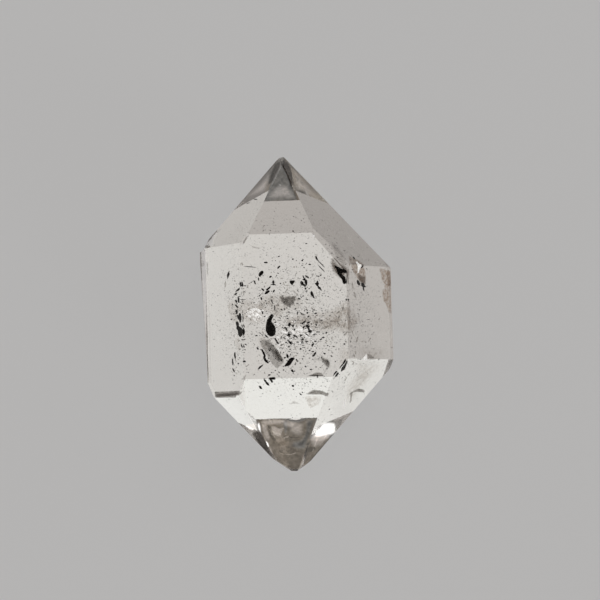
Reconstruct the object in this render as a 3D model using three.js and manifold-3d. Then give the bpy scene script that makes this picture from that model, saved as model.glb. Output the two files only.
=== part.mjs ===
// Herkimer diamond: one clear, doubly terminated quartz crystal, lying on one of its six prism faces.
// Millimetres, +Z up. The crystal's long (c) axis runs along +Y, and the table is the plane Z = 0.
//
// The crystal is built the way it grew: each natural face is a plane at its own distance from the
// centre, and the crystal is what is left inside all of them. A small parallel crystal has grown on
// the left-hand edge and is one with it.
import * as THREE from "three";
import { ConvexGeometry } from "three/addons/geometries/ConvexGeometry.js";
import { mergeVertices } from "three/addons/utils/BufferGeometryUtils.js";
import Module from "manifold-3d";

const wasm = await Module();
wasm.setup();

// ---- Quartz: how far the normal of each kind of face leans away from the long axis, in degrees ----
const PRISM_LEAN = 90;
const RHOMB_LEAN = 51.79;
const BEVEL_LEAN = 65.6; // the narrow faces on the slanting edges between a prism and a tip face

// ---- Main crystal: distance of each face from the centre, by the way it looks, in millimetres ----
// An azimuth of 0 looks straight up, 90 looks along +X and 180 looks down at the table.
const PRISM_FACES = { 0: 5.17, 60: 5.69, 120: 5.57, 180: 4.27, 240: 5.71, 300: 5.73 };
const UPPER_TIP_FACES = { 0: 7.27, 60: 6.28, 120: 6.13, 180: 7.05, 240: 7.78, 300: 7.38 };
const LOWER_TIP_FACES = { 0: 7.01, 60: 6.66, 120: 6.95, 180: 6.78, 240: 7.43, 300: 8.11 };

// Narrow bevels on two slanting edges of the upper end. The right one widens towards the shoulder.
const RIGHT_BEVEL = { azimuth: 33, lean: 66, distance: 6.7 };
const LEFT_BEVEL = { azimuth: -30, lean: BEVEL_LEAN, distance: 7.58 };

// Worn points: small flats that take the sharpness off both tips.
const UPPER_WORN_TIP = { azimuth: 20, lean: 8, distance: 10.83 };
const LOWER_WORN_TIP = { azimuth: 75, lean: 14, distance: 11.08 };

// ---- Parallel growth on the left-hand edge: a thin ledge that stands out from the edge ----
const GROWTH_RISE = 0.15; // how far its lower prism face stands off the main one
const GROWTH_LEDGE = 0.2; // height of its level upper face over the centre
const GROWTH_DEPTH = 0.55; // how far it reaches down below the centre
const GROWTH_ROOT = -6.1; // X at which it is buried in the main crystal
const GROWTH_END = { lean: 20, distance: 6.47 }; // the face that ends it towards +Y
const GROWTH_TAPER = { lean: 92.5, distance: 6.72 }; // the face that runs out into the edge

const SAME_POINT = 1e-4; // millimetres

/**
 * A flat face of the crystal, looking out from the centre.
 * @param {number} azimuth  degrees round the long axis, 0 up and 90 along +X
 * @param {number} lean     degrees between the face's normal and the long axis
 * @param {number} distance millimetres from the centre
 * @param {number} end      1 for the end towards +Y, -1 for the end towards -Y
 */
function face(azimuth, lean, distance, end = 1) {
  const around = THREE.MathUtils.degToRad(azimuth);
  const down = THREE.MathUtils.degToRad(lean);
  const normal = new THREE.Vector3(
    Math.sin(around) * Math.sin(down),
    end * Math.cos(down),
    Math.cos(around) * Math.sin(down),
  );
  return new THREE.Plane(normal, -distance);
}

/** A ring of faces with one lean, from a list of distance by azimuth. */
function ring(distances, lean, end = 1) {
  return Object.entries(distances).map(([azimuth, distance]) => face(Number(azimuth), lean, distance, end));
}

/** The point where three planes meet, or null where they have none. */
function meetingPoint(a, b, c) {
  const volume = a.normal.dot(new THREE.Vector3().crossVectors(b.normal, c.normal));
  if (Math.abs(volume) < 1e-6) return null;
  return new THREE.Vector3()
    .addScaledVector(new THREE.Vector3().crossVectors(b.normal, c.normal), -a.constant)
    .addScaledVector(new THREE.Vector3().crossVectors(c.normal, a.normal), -b.constant)
    .addScaledVector(new THREE.Vector3().crossVectors(a.normal, b.normal), -c.constant)
    .divideScalar(volume);
}

/** The closed convex body inside all of the faces. */
function bodyInside(faces) {
  const corners = [];
  for (let i = 0; i < faces.length; i += 1) {
    for (let j = i + 1; j < faces.length; j += 1) {
      for (let k = j + 1; k < faces.length; k += 1) {
        const corner = meetingPoint(faces[i], faces[j], faces[k]);
        const inside = corner && faces.every((plane) => plane.distanceToPoint(corner) < SAME_POINT);
        const isNew = inside && corners.every((other) => other.distanceTo(corner) > SAME_POINT);
        if (isNew) corners.push(corner);
      }
    }
  }
  return new ConvexGeometry(corners);
}

/** A geometry as a solid that can be joined. */
function toSolid(geometry) {
  const bare = geometry.clone();
  bare.deleteAttribute("normal");
  if (bare.hasAttribute("uv")) bare.deleteAttribute("uv");
  const merged = mergeVertices(bare, SAME_POINT);
  return new wasm.Manifold(
    new wasm.Mesh({
      numProp: 3,
      vertProperties: Float32Array.from(merged.attributes.position.array),
      triVerts: Uint32Array.from(merged.index.array),
    }),
  );
}

/** A joined solid back as a flat-shaded geometry. */
function toGeometry(solid) {
  const mesh = solid.getMesh();
  const geometry = new THREE.BufferGeometry();
  geometry.setAttribute("position", new THREE.BufferAttribute(mesh.vertProperties, 3));
  geometry.setIndex(new THREE.BufferAttribute(mesh.triVerts, 1));
  const flat = geometry.toNonIndexed();
  flat.computeVertexNormals();
  return flat;
}

function mainCrystal() {
  return bodyInside([
    ...ring(PRISM_FACES, PRISM_LEAN),
    ...ring(UPPER_TIP_FACES, RHOMB_LEAN),
    ...ring(LOWER_TIP_FACES, RHOMB_LEAN, -1),
    face(RIGHT_BEVEL.azimuth, RIGHT_BEVEL.lean, RIGHT_BEVEL.distance),
    face(LEFT_BEVEL.azimuth, LEFT_BEVEL.lean, LEFT_BEVEL.distance),
    face(UPPER_WORN_TIP.azimuth, UPPER_WORN_TIP.lean, UPPER_WORN_TIP.distance),
    face(LOWER_WORN_TIP.azimuth, LOWER_WORN_TIP.lean, LOWER_WORN_TIP.distance, -1),
  ]);
}

function leftGrowth() {
  return bodyInside([
    face(240, PRISM_LEAN, PRISM_FACES[240] + GROWTH_RISE),
    face(270, GROWTH_END.lean, GROWTH_END.distance),
    face(270, GROWTH_TAPER.lean, GROWTH_TAPER.distance),
    face(0, PRISM_LEAN, GROWTH_LEDGE),
    face(180, PRISM_LEAN, GROWTH_DEPTH),
    face(90, PRISM_LEAN, GROWTH_ROOT),
    // At the lower end it stops at the main crystal's own tip faces.
    face(240, RHOMB_LEAN, LOWER_TIP_FACES[240], -1),
    face(300, RHOMB_LEAN, LOWER_TIP_FACES[300], -1),
  ]);
}

const quartz = new THREE.MeshStandardMaterial({ color: 0xd6d1cb, roughness: 0.04, metalness: 0 });

const grown = toSolid(mainCrystal()).add(toSolid(leftGrowth()));
const crystal = new THREE.Mesh(toGeometry(grown), quartz);
crystal.name = "crystal";
crystal.geometry.computeBoundingBox();

// The crystal lies on its lowest prism face, centred over the origin.
const box = crystal.geometry.boundingBox;
crystal.position.set(-(box.min.x + box.max.x) / 2, -(box.min.y + box.max.y) / 2, -box.min.z);

const herkimer = new THREE.Group();
herkimer.add(crystal);

export default herkimer;
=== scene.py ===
"""Herkimer diamond: the looks of one clear, doubly terminated quartz crystal with sealed carbon.

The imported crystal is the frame. Shapes are worked out in millimetres from the centre that the crystal
grew from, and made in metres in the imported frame. What is sealed in the crystal is drawn the way it is
seen from above, and then put on its line of sight, which the crystal's faces bend.
"""
import logging
import math
import random
from collections.abc import Iterable, Sequence
from dataclasses import dataclass, field
from enum import Enum
from functools import lru_cache
from typing import ClassVar

import bmesh
import bpy
import numpy as np
from mathutils import Matrix, Vector, noise
from mathutils.bvhtree import BVHTree
from mathutils.geometry import delaunay_2d_cdt


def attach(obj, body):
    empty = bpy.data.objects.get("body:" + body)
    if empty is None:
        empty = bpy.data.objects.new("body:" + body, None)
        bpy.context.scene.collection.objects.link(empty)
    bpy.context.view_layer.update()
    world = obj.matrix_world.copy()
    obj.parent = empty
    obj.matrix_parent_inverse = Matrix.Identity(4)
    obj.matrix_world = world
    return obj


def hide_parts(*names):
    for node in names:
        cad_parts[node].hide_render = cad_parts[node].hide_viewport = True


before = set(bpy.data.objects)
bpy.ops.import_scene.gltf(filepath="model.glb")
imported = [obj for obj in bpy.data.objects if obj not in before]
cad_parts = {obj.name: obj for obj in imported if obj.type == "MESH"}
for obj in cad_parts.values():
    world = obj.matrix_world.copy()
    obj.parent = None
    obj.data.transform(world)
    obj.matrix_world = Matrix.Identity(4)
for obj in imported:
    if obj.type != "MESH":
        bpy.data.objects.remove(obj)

LOG = logging.getLogger("herkimer")

MM = 0.001  # metres in a millimetre
DRAWN_PER_MM = 100  # drawn numbers are whole hundredths of a millimetre, across and up by turns
TINY = 1e-12  # keeps a number that is divided by from being nothing
QUARTZ_IOR = 1.544
MATCHED_IOR = 1.0  # for films that tint the light and don't bend it
LIGHT_BOUNCES = 40  # how often light may be mirrored or bent on its way through the crystal
# The centre of growth, that all of the natural faces are measured from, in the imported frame.
CENTRE = Vector((0.191, 0.113, 4.27))

Point = tuple[float, float]
Drawn = tuple[int, ...]
Color = tuple[float, float, float]
Array = np.ndarray
Socket = bpy.types.NodeSocket
Material = bpy.types.Material
Object = bpy.types.Object


# ---- Nodes and effects ----


class NodeBench:
    """A short way to add and join shader nodes in one tree, laid out in rows."""

    COLUMNS = 9
    COLUMN_STEP, ROW_STEP = 180, -220

    def __init__(self, tree: bpy.types.NodeTree) -> None:
        """Works on one node tree."""
        self.tree = tree

    def add(self, kind: str, settings: dict | None = None, **inputs: object) -> bpy.types.Node:
        """Adds a node, sets it up and feeds its inputs.

        Args:
            kind: Blender's name for the node type.
            settings: attributes to set on the node.
            inputs: a value or an output socket for each input, by its name with spaces as underscores,
                or by its number after a leading underscore.

        Returns:
            The new node.
        """
        node = self.tree.nodes.new(kind)
        row, column = divmod(len(self.tree.nodes), self.COLUMNS)
        node.location = (self.COLUMN_STEP * column, self.ROW_STEP * row)
        for name, value in (settings or {}).items():
            setattr(node, name, value)
        for name, value in inputs.items():
            self.feed(node, int(name[1:]) if name[1:].isdigit() else name.replace("_", " "), value)
        return node

    def feed(self, node: bpy.types.Node, name: int | str, value: object) -> None:
        """Sets one input of a node, or links a socket to it.

        Args:
            node: the node.
            name: the input's name or number.
            value: what it is set to, or the output socket that feeds it.
        """
        socket = node.inputs[name]
        if isinstance(value, Socket):
            self.tree.links.new(value, socket)
        else:
            socket.default_value = value

    def math(self, operation: str, *values: object, clamp: bool = False) -> Socket:
        """Adds a math node for numbers or sockets, its result kept between 0 and 1 if clamp is set."""
        inputs = {f"_{i}": value for i, value in enumerate(values)}
        return self.add("ShaderNodeMath", {"operation": operation, "use_clamp": clamp}, **inputs).outputs[0]

    def times(self, first: object, second: object) -> Socket:
        """The product of two numbers or sockets."""
        return self.math("MULTIPLY", first, second)

    def total(self, *values: object) -> Socket:
        """Adds up.

        Args:
            values: numbers or output sockets.

        Returns:
            The sum's socket.
        """
        result = values[0]
        for value in values[1:]:
            result = self.math("ADD", result, value)
        return result

    def smooth(self, value: object, low: object, high: object) -> Socket:
        """A smooth step from 0 where the value is low to 1 where it is high."""
        settings = {"interpolation_type": "SMOOTHSTEP"}
        return self.add("ShaderNodeMapRange", settings, _0=value, _1=low, _2=high).outputs[0]

    def blend(self, factor: object, first: object, second: object) -> Socket:
        """Mixes two colours: the first at factor 0, the second at factor 1."""
        return self.add("ShaderNodeMix", {"data_type": "RGBA"}, _0=factor, _6=first, _7=second).outputs[2]


def millimetres(bench: NodeBench) -> Socket:
    """The place on the piece, in millimetres."""
    place = bench.add("ShaderNodeTexCoord").outputs["Object"]
    return bench.add("ShaderNodeVectorMath", {"operation": "SCALE"}, Vector=place, Scale=1 / MM).outputs[0]


class Effect(Enum):
    """The effects that more than one material uses, each one a node group."""

    MOTTLE = "mottle"
    COVER = "cover"


class EffectShelf:
    """Builds each shared node group once, and places it in materials."""

    def __init__(self) -> None:
        """Starts with no group built."""
        self.built: dict[Effect, bpy.types.NodeTree] = {}

    def place(self, bench: NodeBench, effect: Effect, **inputs: object) -> Socket:
        """Puts an effect in a material.

        Args:
            bench: the material's bench.
            effect: which effect.
            inputs: the effect's own values, by name with spaces as underscores.

        Returns:
            The effect's output socket.
        """
        if effect not in self.built:
            self.built[effect] = self.build(effect)
        return bench.add("ShaderNodeGroup", {"node_tree": self.built[effect]}, **inputs).outputs[0]

    def build(self, effect: Effect) -> bpy.types.NodeTree:
        """Builds one effect's node group.

        Args:
            effect: which effect.

        Returns:
            The node group.
        """
        makers = {
            Effect.MOTTLE: (self.make_mottle, {"Scale": 4.0, "Low": 0.4, "High": 0.6}, "Mask"),
            Effect.COVER: (self.make_cover, {"Scale": 5.0, "Patchiness": 0.5}, "Mask"),
        }
        maker, inputs, output = makers[effect]
        group = bpy.data.node_groups.new(effect.value, "ShaderNodeTree")
        for name, value in inputs.items():
            socket = group.interface.new_socket(name, in_out="INPUT", socket_type="NodeSocketFloat")
            socket.default_value = value
        group.interface.new_socket(output, in_out="OUTPUT", socket_type="NodeSocketFloat")
        bench = NodeBench(group)
        given = bench.add("NodeGroupInput").outputs
        bench.add("NodeGroupOutput", _0=maker(bench, given))
        return group

    def make_mottle(self, bench: NodeBench, given: bpy.types.NodeInputs) -> Socket:
        """Soft irregular blotches with a chosen edge.

        Args:
            bench: the group's bench.
            given: the group's inputs: blotches per millimetre, and the noise levels of their edge.

        Returns:
            The mask's socket.
        """
        place = millimetres(bench)
        spots = bench.add("ShaderNodeTexNoise", Vector=place, Scale=given["Scale"], Detail=4.0)
        return bench.smooth(spots.outputs[0], given["Low"], given["High"])

    def make_cover(self, bench: NodeBench, given: bpy.types.NodeInputs) -> Socket:
        """Where a film covers: fading towards its outline, and patchy.

        Args:
            bench: the group's bench.
            given: the group's inputs: patches per millimetre, and how patchy it is from 0 to 1.

        Returns:
            The mask's socket.
        """
        whole = bench.add("ShaderNodeAttribute", {"attribute_name": "cover"}).outputs["Fac"]
        place = millimetres(bench)
        patches = bench.add("ShaderNodeTexNoise", Vector=place, Scale=given["Scale"], Detail=5.0)
        gaps = bench.times(bench.smooth(patches.outputs[0], 0.62, 0.38), given["Patchiness"])
        return bench.math("MULTIPLY", whole, bench.math("SUBTRACT", 1.0, gaps), clamp=True)


# ---- Finishes ----


def solid(color: Color) -> tuple[float, float, float, float]:
    """A colour with full alpha."""
    return (*color, 1.0)


def new_material(name: str) -> tuple[Material, NodeBench]:
    """Makes an empty node material.

    Args:
        name: the material's name.

    Returns:
        The material, and a bench for its nodes.
    """
    material = bpy.data.materials.new(name)
    material.use_nodes = True
    material.node_tree.nodes.clear()
    return material, NodeBench(material.node_tree)


@dataclass(frozen=True)
class QuartzFinish:
    """Clear, very faintly smoky quartz, glassy on its faces and finely worn along its edges."""

    soak: Color = (0.9, 0.884, 0.866)
    soak_density: float = 30.0
    clear: Color = (1.0, 1.0, 1.0)
    dusty: Color = (0.965, 0.96, 0.952)
    dust_scale: float = 5.5
    worn_tint: Color = (0.86, 0.84, 0.82)
    lines_per_mm: float = 3.5
    line_wander: float = 0.5
    line_height: float = 0.00000035
    pit_height: float = 0.0000006

    def growth_lines(self, bench: NodeBench) -> Socket:
        """Adds fine lines across the long axis, uneven in height and slightly wandering.

        Args:
            bench: the material's bench.

        Returns:
            The socket of their height, from 0 to 1.
        """
        place = millimetres(bench)
        drift = bench.add("ShaderNodeTexNoise", Vector=place, Scale=0.7, Detail=2.0).outputs[0]
        along = bench.add("ShaderNodeSeparateXYZ", _0=place).outputs["Y"]
        moved = bench.math("ADD", along, bench.times(drift, self.line_wander))
        settings = {"noise_dimensions": "1D"}
        lines = bench.add("ShaderNodeTexNoise", settings, W=moved, Scale=self.lines_per_mm, Detail=3.0)
        return lines.outputs[0]

    def make(self, effects: EffectShelf) -> Material:
        """Makes the material.

        Args:
            effects: the shared effects.

        Returns:
            The material.
        """
        material, bench = new_material("clear quartz")
        dust = effects.place(bench, Effect.MOTTLE, Scale=self.dust_scale, Low=0.52, High=0.66)
        faces = bench.blend(dust, solid(self.clear), solid(self.dusty))
        wear = bench.add("ShaderNodeAttribute", {"attribute_name": "wear"}).outputs["Fac"]
        worn_spots = effects.place(bench, Effect.MOTTLE, Scale=3.0, Low=0.35, High=0.6)
        patchy = bench.times(wear, worn_spots)
        color = bench.blend(patchy, faces, solid(self.worn_tint))
        lines = self.growth_lines(bench)
        pits = effects.place(bench, Effect.MOTTLE, Scale=9.0, Low=0.3, High=0.75)
        height = bench.total(bench.times(lines, self.line_height), bench.times(pits, self.pit_height))
        bump = bench.add("ShaderNodeBump", Strength=1.0, Distance=1.0, Height=height)
        glass = bench.add(
            "ShaderNodeBsdfPrincipled",
            Base_Color=color,
            Roughness=0.0,
            Metallic=0.0,
            IOR=QUARTZ_IOR,
            Transmission_Weight=1.0,
            Normal=bump.outputs[0],
        )
        soak = bench.add("ShaderNodeVolumeAbsorption", Color=solid(self.soak), Density=self.soak_density)
        bench.add("ShaderNodeOutputMaterial", Surface=glass.outputs[0], Volume=soak.outputs[0])
        return material


@dataclass(frozen=True)
class CarbonFinish:
    """Sealed carbon: black with a brown cast, dull and crumbly."""

    name: str = "sealed carbon"
    deep: Color = (0.004, 0.0035, 0.003)
    lit: Color = (0.03, 0.026, 0.022)
    scale: float = 9.0
    grains_to_a_spot: float = 4.0
    roughness: float = 0.75
    grain_height: float = 0.000012

    def make(self, effects: EffectShelf) -> Material:
        """Makes the material.

        Args:
            effects: the shared effects.

        Returns:
            The material.
        """
        material, bench = new_material(self.name)
        spots = effects.place(bench, Effect.MOTTLE, Scale=self.scale, Low=0.4, High=0.7)
        color = bench.blend(spots, solid(self.deep), solid(self.lit))
        fineness = self.scale * self.grains_to_a_spot
        grain = effects.place(bench, Effect.MOTTLE, Scale=fineness, Low=0.3, High=0.7)
        height = bench.times(grain, self.grain_height)
        bump = bench.add("ShaderNodeBump", Strength=1.0, Distance=1.0, Height=height)
        dull = bench.add(
            "ShaderNodeBsdfPrincipled",
            Base_Color=color,
            Roughness=self.roughness,
            IOR=QUARTZ_IOR,
            Specular_IOR_Level=0.15,
            Normal=bump.outputs[0],
        )
        bench.add("ShaderNodeOutputMaterial", Surface=dull.outputs[0])
        return material


@dataclass(frozen=True)
class FilmFinish:
    """A thin film that takes light away without bending it, thinner towards its edge and in patches. Where
    it has a glow, it also gives off painted light in its own tint.
    """

    name: str
    thick: Color
    thin: Color
    scale: float = 6.0
    tones_to_a_patch: float = 2.3
    patchiness: float = 0.25
    # painted light: how brightly the film glows in its own tint
    glow: float = 0.0
    # when set, the film is clear from behind and shows its painted light only from the front
    one_sided: bool = False

    def make(self, effects: EffectShelf) -> Material:
        """Makes the material.

        Args:
            effects: the shared effects.

        Returns:
            The material.
        """
        material, bench = new_material(self.name)
        cover = effects.place(bench, Effect.COVER, Scale=self.scale, Patchiness=self.patchiness)
        if self.one_sided:
            backfacing = bench.add("ShaderNodeNewGeometry").outputs["Backfacing"]
            cover = bench.times(cover, bench.math("SUBTRACT", 1.0, backfacing))
        fineness = self.scale * self.tones_to_a_patch
        tone = effects.place(bench, Effect.MOTTLE, Scale=fineness, Low=0.3, High=0.7)
        tint = bench.blend(tone, solid(self.thin), solid(self.thick))
        color = bench.blend(cover, (1.0, 1.0, 1.0, 1.0), tint)
        film = bench.add(
            "ShaderNodeBsdfPrincipled",
            Base_Color=color,
            Roughness=0.0,
            IOR=MATCHED_IOR,
            Transmission_Weight=1.0,
        )
        # Painted light: the film glows in its own tint where it covers.
        if self.glow:
            bench.feed(film, "Emission Color", bench.blend(cover, (0.0, 0.0, 0.0, 1.0), tint))
            bench.feed(film, "Emission Strength", self.glow)
        bench.add("ShaderNodeOutputMaterial", Surface=film.outputs[0])
        return material


@dataclass(frozen=True)
class FrostGlowFinish:
    """White, minutely cracked quartz that scatters light, and gives off painted light so that it shines
    brighter than what lies behind it.
    """

    name: str = "frosted quartz with painted glow"
    white: Color = (0.95, 0.94, 0.92)
    grey: Color = (0.7, 0.69, 0.67)
    scale: float = 12.0
    # painted light: how brightly the frost glows in its own colour
    glow: float = 0.62

    def make(self, effects: EffectShelf) -> Material:
        """Makes the material.

        Args:
            effects: the shared effects.

        Returns:
            The material.
        """
        material, bench = new_material(self.name)
        spots = effects.place(bench, Effect.MOTTLE, Scale=self.scale, Low=0.5, High=0.75)
        color = bench.blend(spots, solid(self.white), solid(self.grey))
        frost = bench.add(
            "ShaderNodeBsdfPrincipled",
            Base_Color=color,
            Roughness=0.5,
            IOR=QUARTZ_IOR,
            Specular_IOR_Level=0.2,
            Emission_Color=color,
            Emission_Strength=self.glow,
        )
        bench.add("ShaderNodeOutputMaterial", Surface=frost.outputs[0])
        return material


# ---- Sight lines ----


@dataclass(frozen=True)
class View:
    """How the crystal is looked at, in millimetres from its centre and degrees off its axes."""

    distance: float = 234.1
    yaw: float = -3.36
    pitch: float = -2.63
    roll: float = 1.57
    aim_right: float = 0.035
    aim_up: float = 0.829
    width: float = 42.13

    def axes(self) -> tuple[Vector, Vector, Vector]:
        """Finds which way the view is turned.

        Returns:
            The directions to the right, up and back to the eye.
        """
        yaw = Matrix.Rotation(math.radians(self.yaw), 3, "Y")
        pitch = Matrix.Rotation(math.radians(self.pitch), 3, "X")
        roll = Matrix.Rotation(math.radians(self.roll), 3, "Z")
        seen = roll @ pitch @ yaw
        return Vector(seen[0]), Vector(seen[1]), Vector(seen[2])

    def eye(self) -> Vector:
        """Where the eye is."""
        return self.axes()[2] * self.distance


def bend(ray: Vector, normal: Vector, ratio: float) -> Vector:
    """Bends a ray at a flat face.

    Args:
        ray: the ray's direction.
        normal: the face's normal, against the ray.
        ratio: the refractive index in front of the face over the one behind it.

    Returns:
        The direction behind the face.
    """
    lean = -ray.dot(normal)
    rest = 1 - ratio**2 * (1 - lean**2)
    return (ray * ratio + normal * (ratio * lean - math.sqrt(max(rest, 0.0)))).normalized()


@dataclass(frozen=True)
class Window:
    """One natural face as a window on the inside, and how deep the crystal is behind it."""

    view: View
    point: Vector
    normal: Vector
    depth: float

    def place(self, across: float, up: float, level: float) -> Vector:
        """Finds a place behind the window.

        Args:
            across: how far to the right it is seen.
            up: how far up it is seen.
            level: how deep it is, from 0 at the window to 1 at the back.

        Returns:
            The place, in millimetres from the centre.
        """
        right, top, _ = self.view.axes()
        eye = self.view.eye()
        ray = (right * across + top * up - eye).normalized()
        entry = eye + ray * ((self.point - eye).dot(self.normal) / ray.dot(self.normal))
        return entry + bend(ray, self.normal, 1 / QUARTZ_IOR) * (level * self.depth)

    def axes(self, across: float, up: float, level: float) -> tuple[Vector, Vector, Vector]:
        """Finds how a place behind the window moves as what is seen moves.

        Args:
            across: how far to the right it is seen.
            up: how far up it is seen.
            level: how deep it is, from 0 at the window to 1 at the back.

        Returns:
            The ways that it moves for a millimetre to the right and for one up, and the way nearer.
        """
        step = 0.05
        right = self.place(across + step, up, level) - self.place(across - step, up, level)
        top = self.place(across, up + step, level) - self.place(across, up - step, level)
        near = self.place(across, up, level) - self.place(across, up, level + step)
        return right / (2 * step), top / (2 * step), near.normalized()


class SightLines:
    """Finds the window and the depth of whatever is seen at a place on the crystal, in millimetres."""

    SAME_WAY = 0.9999  # the least cosine between normals that point the same way
    ONE_FACE = 0.01  # how far a place may stand off its plane
    LEAST_FACING = 0.05  # a face that is turned further from the eye is no window
    BEHIND = 0.01  # a ray starts this far behind the face that it came through
    SKIN = 0.008  # least depth of anything sealed in
    SKIN_DOUBLES = 0.1  # the depth at which what is held inside lies twice as deep as the skin
    LARGEST_LUMP = 0.4  # no lump reaches further from its middle
    SEARCH_STEPS = 4  # how often the place where a ray enters is put right
    SAME_PLACE = 0.02  # how close a ray has to come to what was looked for
    SHALLOWEST = 0.03  # the least share of its window's depth that something is brought up to
    RISE = 0.85  # the share of its depth that it keeps at each step up

    def __init__(self, crystal: Object, view: View) -> None:
        """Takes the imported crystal's faces.

        Args:
            crystal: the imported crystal.
            view: how it is looked at.
        """
        self.view = view
        corners = [vertex.co / MM - CENTRE for vertex in crystal.data.vertices]
        self.tree = BVHTree.FromPolygons(corners, [tuple(face.vertices) for face in crystal.data.polygons])
        self.faces: list[tuple[Vector, Vector]] = []
        for face in crystal.data.polygons:
            point, normal = corners[face.vertices[0]], face.normal
            known = any(
                facing.dot(normal) > self.SAME_WAY and abs((point - other).dot(facing)) < self.ONE_FACE
                for other, facing in self.faces
            )
            if normal.dot(view.axes()[2]) > self.LEAST_FACING and not known:
                self.faces.append((point, normal.copy()))

    def surface(self, across: float, up: float) -> tuple[Vector, Vector] | None:
        """Finds what is seen of the outside.

        Args:
            across: how far to the right.
            up: how far up.

        Returns:
            The place on the outside and its normal, or None beside the crystal.
        """
        right, top, _ = self.view.axes()
        eye = self.view.eye()
        point, normal, _, _ = self.tree.ray_cast(eye, (right * across + top * up - eye).normalized())
        return None if point is None else (point, normal)

    def window(self, across: float, up: float) -> Window | None:
        """Finds the face that is looked through.

        Args:
            across: how far to the right.
            up: how far up.

        Returns:
            The window, or None beside the crystal.
        """
        seen = self.surface(across, up)
        if seen is None:
            return None
        point, normal = seen
        ray = bend((point - self.view.eye()).normalized(), normal, 1 / QUARTZ_IOR)
        _, _, _, depth = self.tree.ray_cast(point + ray * self.BEHIND, ray)
        return None if depth is None else Window(self.view, point, normal, depth + self.BEHIND)

    def hold_inside(self, place: Vector, spot: Point, depth: float) -> Vector:
        """Brings a place that would stand outside the crystal back under the face that covers it.

        Args:
            place: the place, from the centre.
            spot: where it is seen.
            depth: how deep it is behind its own window.

        Returns:
            The place itself, or one just under the surface.
        """
        skin = self.SKIN * (1 + max(depth, 0.0) / self.SKIN_DOUBLES)
        nearest, normal, _, _ = self.tree.find_nearest(place)
        if (place - nearest).dot(normal) < -skin:
            return place
        point, facing = self.surface(*spot) or (nearest, normal)
        return point - facing * skin

    def near_surface(self, place: Vector) -> bool:
        """Whether a lump there could reach the outside."""
        return self.tree.find_nearest(place)[3] < self.LARGEST_LUMP

    def way_out(self, points: Array) -> Array:
        """Finds how far a lump stands out of the crystal, as the step that would take it there.

        Args:
            points: the lump's points, from the centre.

        Returns:
            The step, which is zero when the lump is wholly inside.
        """
        step = Vector()
        for point in points:
            place = Vector(point)
            nearest, normal, _, _ = self.tree.find_nearest(place)
            out = (place - nearest).dot(normal) + self.SKIN
            if out > step.length:
                step = normal * out
        return np.array(step)

    def count_views(self, place: Vector) -> int:
        """Counts the faces that a sealed place is seen through.

        Args:
            place: the place, from the centre.

        Returns:
            How many times it is seen.
        """
        right, top, back = self.view.axes()
        eye = self.view.eye()
        count = 0
        for point, normal in self.faces:
            entry = place
            for _ in range(self.SEARCH_STEPS):
                ray = bend((entry - eye).normalized(), normal, 1 / QUARTZ_IOR)
                entry = place - ray * ((place - point).dot(normal) / ray.dot(normal))
            flat = (entry - eye) * (self.view.distance / (eye - entry).dot(back))
            seen = self.surface(flat.dot(right), flat.dot(top))
            count += seen is not None and (seen[0] - entry).length < self.SAME_PLACE
        return count

    def settle(self, window: Window, spots: Sequence[Point], level: float) -> float:
        """Brings something up towards its window until it is seen only once.

        Args:
            window: the window that it is seen through.
            spots: where its middle and ends are seen.
            level: the depth that it would best have.

        Returns:
            The depth to use.
        """
        while level > self.SHALLOWEST:
            if all(self.count_views(window.place(*spot, level)) < 2 for spot in spots):
                return level
            level *= self.RISE
        return level


# ---- Shapes ----


class Heap:
    """Collects many small closed shapes and makes one joined piece of them."""

    def __init__(self) -> None:
        """Starts empty."""
        self.points: list[Array] = []
        self.covers: list[Array] = []
        self.faces: list[tuple[int, ...]] = []
        self.count = 0

    def add(
        self, points: Array, faces: Iterable[Sequence[int]], cover: Array | None = None
    ) -> None:
        """Adds one closed shape.

        Args:
            points: its corners, in millimetres from the centre.
            faces: its faces, by corner.
            cover: how fully a film covers at each corner, from 0 to 1.
        """
        self.faces.extend(tuple(self.count + int(corner) for corner in face) for face in faces)
        self.points.append(points)
        self.covers.append(np.ones(len(points)) if cover is None else cover)
        self.count += len(points)

    def make_piece(self, name: str, material: Material) -> None:
        """Makes the joined piece, riding on the crystal.

        Args:
            name: the piece's name.
            material: its material.
        """
        places = (np.vstack(self.points) + np.array(CENTRE)) * MM
        mesh = bpy.data.meshes.new(name)
        mesh.from_pydata(places.tolist(), [], self.faces)
        mesh.shade_smooth()
        cover = mesh.attributes.new("cover", "FLOAT", "POINT")
        cover.data.foreach_set("value", np.concatenate(self.covers).astype(np.float32))
        mesh.materials.append(material)
        thing = bpy.data.objects.new(name, mesh)
        bpy.context.scene.collection.objects.link(thing)
        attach(thing, "root")
        LOG.info("%s: %d faces", name, len(mesh.polygons))


@lru_cache(maxsize=None)
def ball(rings: int) -> tuple[Array, tuple[tuple[int, ...], ...]]:
    """A ball of radius 1 made of triangles.

    Args:
        rings: how often its faces are divided.

    Returns:
        Its corners, and its faces by corner.
    """
    bm = bmesh.new()
    bmesh.ops.create_icosphere(bm, subdivisions=rings, radius=1.0)
    points = np.array([vertex.co[:] for vertex in bm.verts])
    faces = tuple(tuple(vertex.index for vertex in face.verts) for face in bm.faces)
    bm.free()
    return points, faces


def crumple(points: Array, amount: float, bumps: float, seed: Vector) -> Array:
    """Pushes points in and out from the origin by smooth noise, by a share of their distance."""
    lift = [1 + amount * noise.noise(Vector(point) * bumps + seed) for point in points]
    return points * np.array(lift)[:, None]


def distance_to_edges(points: Array, corners: Array) -> Array:
    """How far flat points are from the sides of a closed outline.

    Args:
        points: the points, two numbers each.
        corners: the outline's corners in order.

    Returns:
        The distance of each point.
    """
    nearest = np.full(len(points), np.inf)
    for start, end in zip(corners, np.roll(corners, -1, axis=0)):
        side = end - start
        share = np.clip((points - start) @ side / max(float(side @ side), TINY), 0.0, 1.0)
        nearest = np.minimum(nearest, np.linalg.norm(points - start - share[:, None] * side, axis=1))
    return nearest


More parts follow.
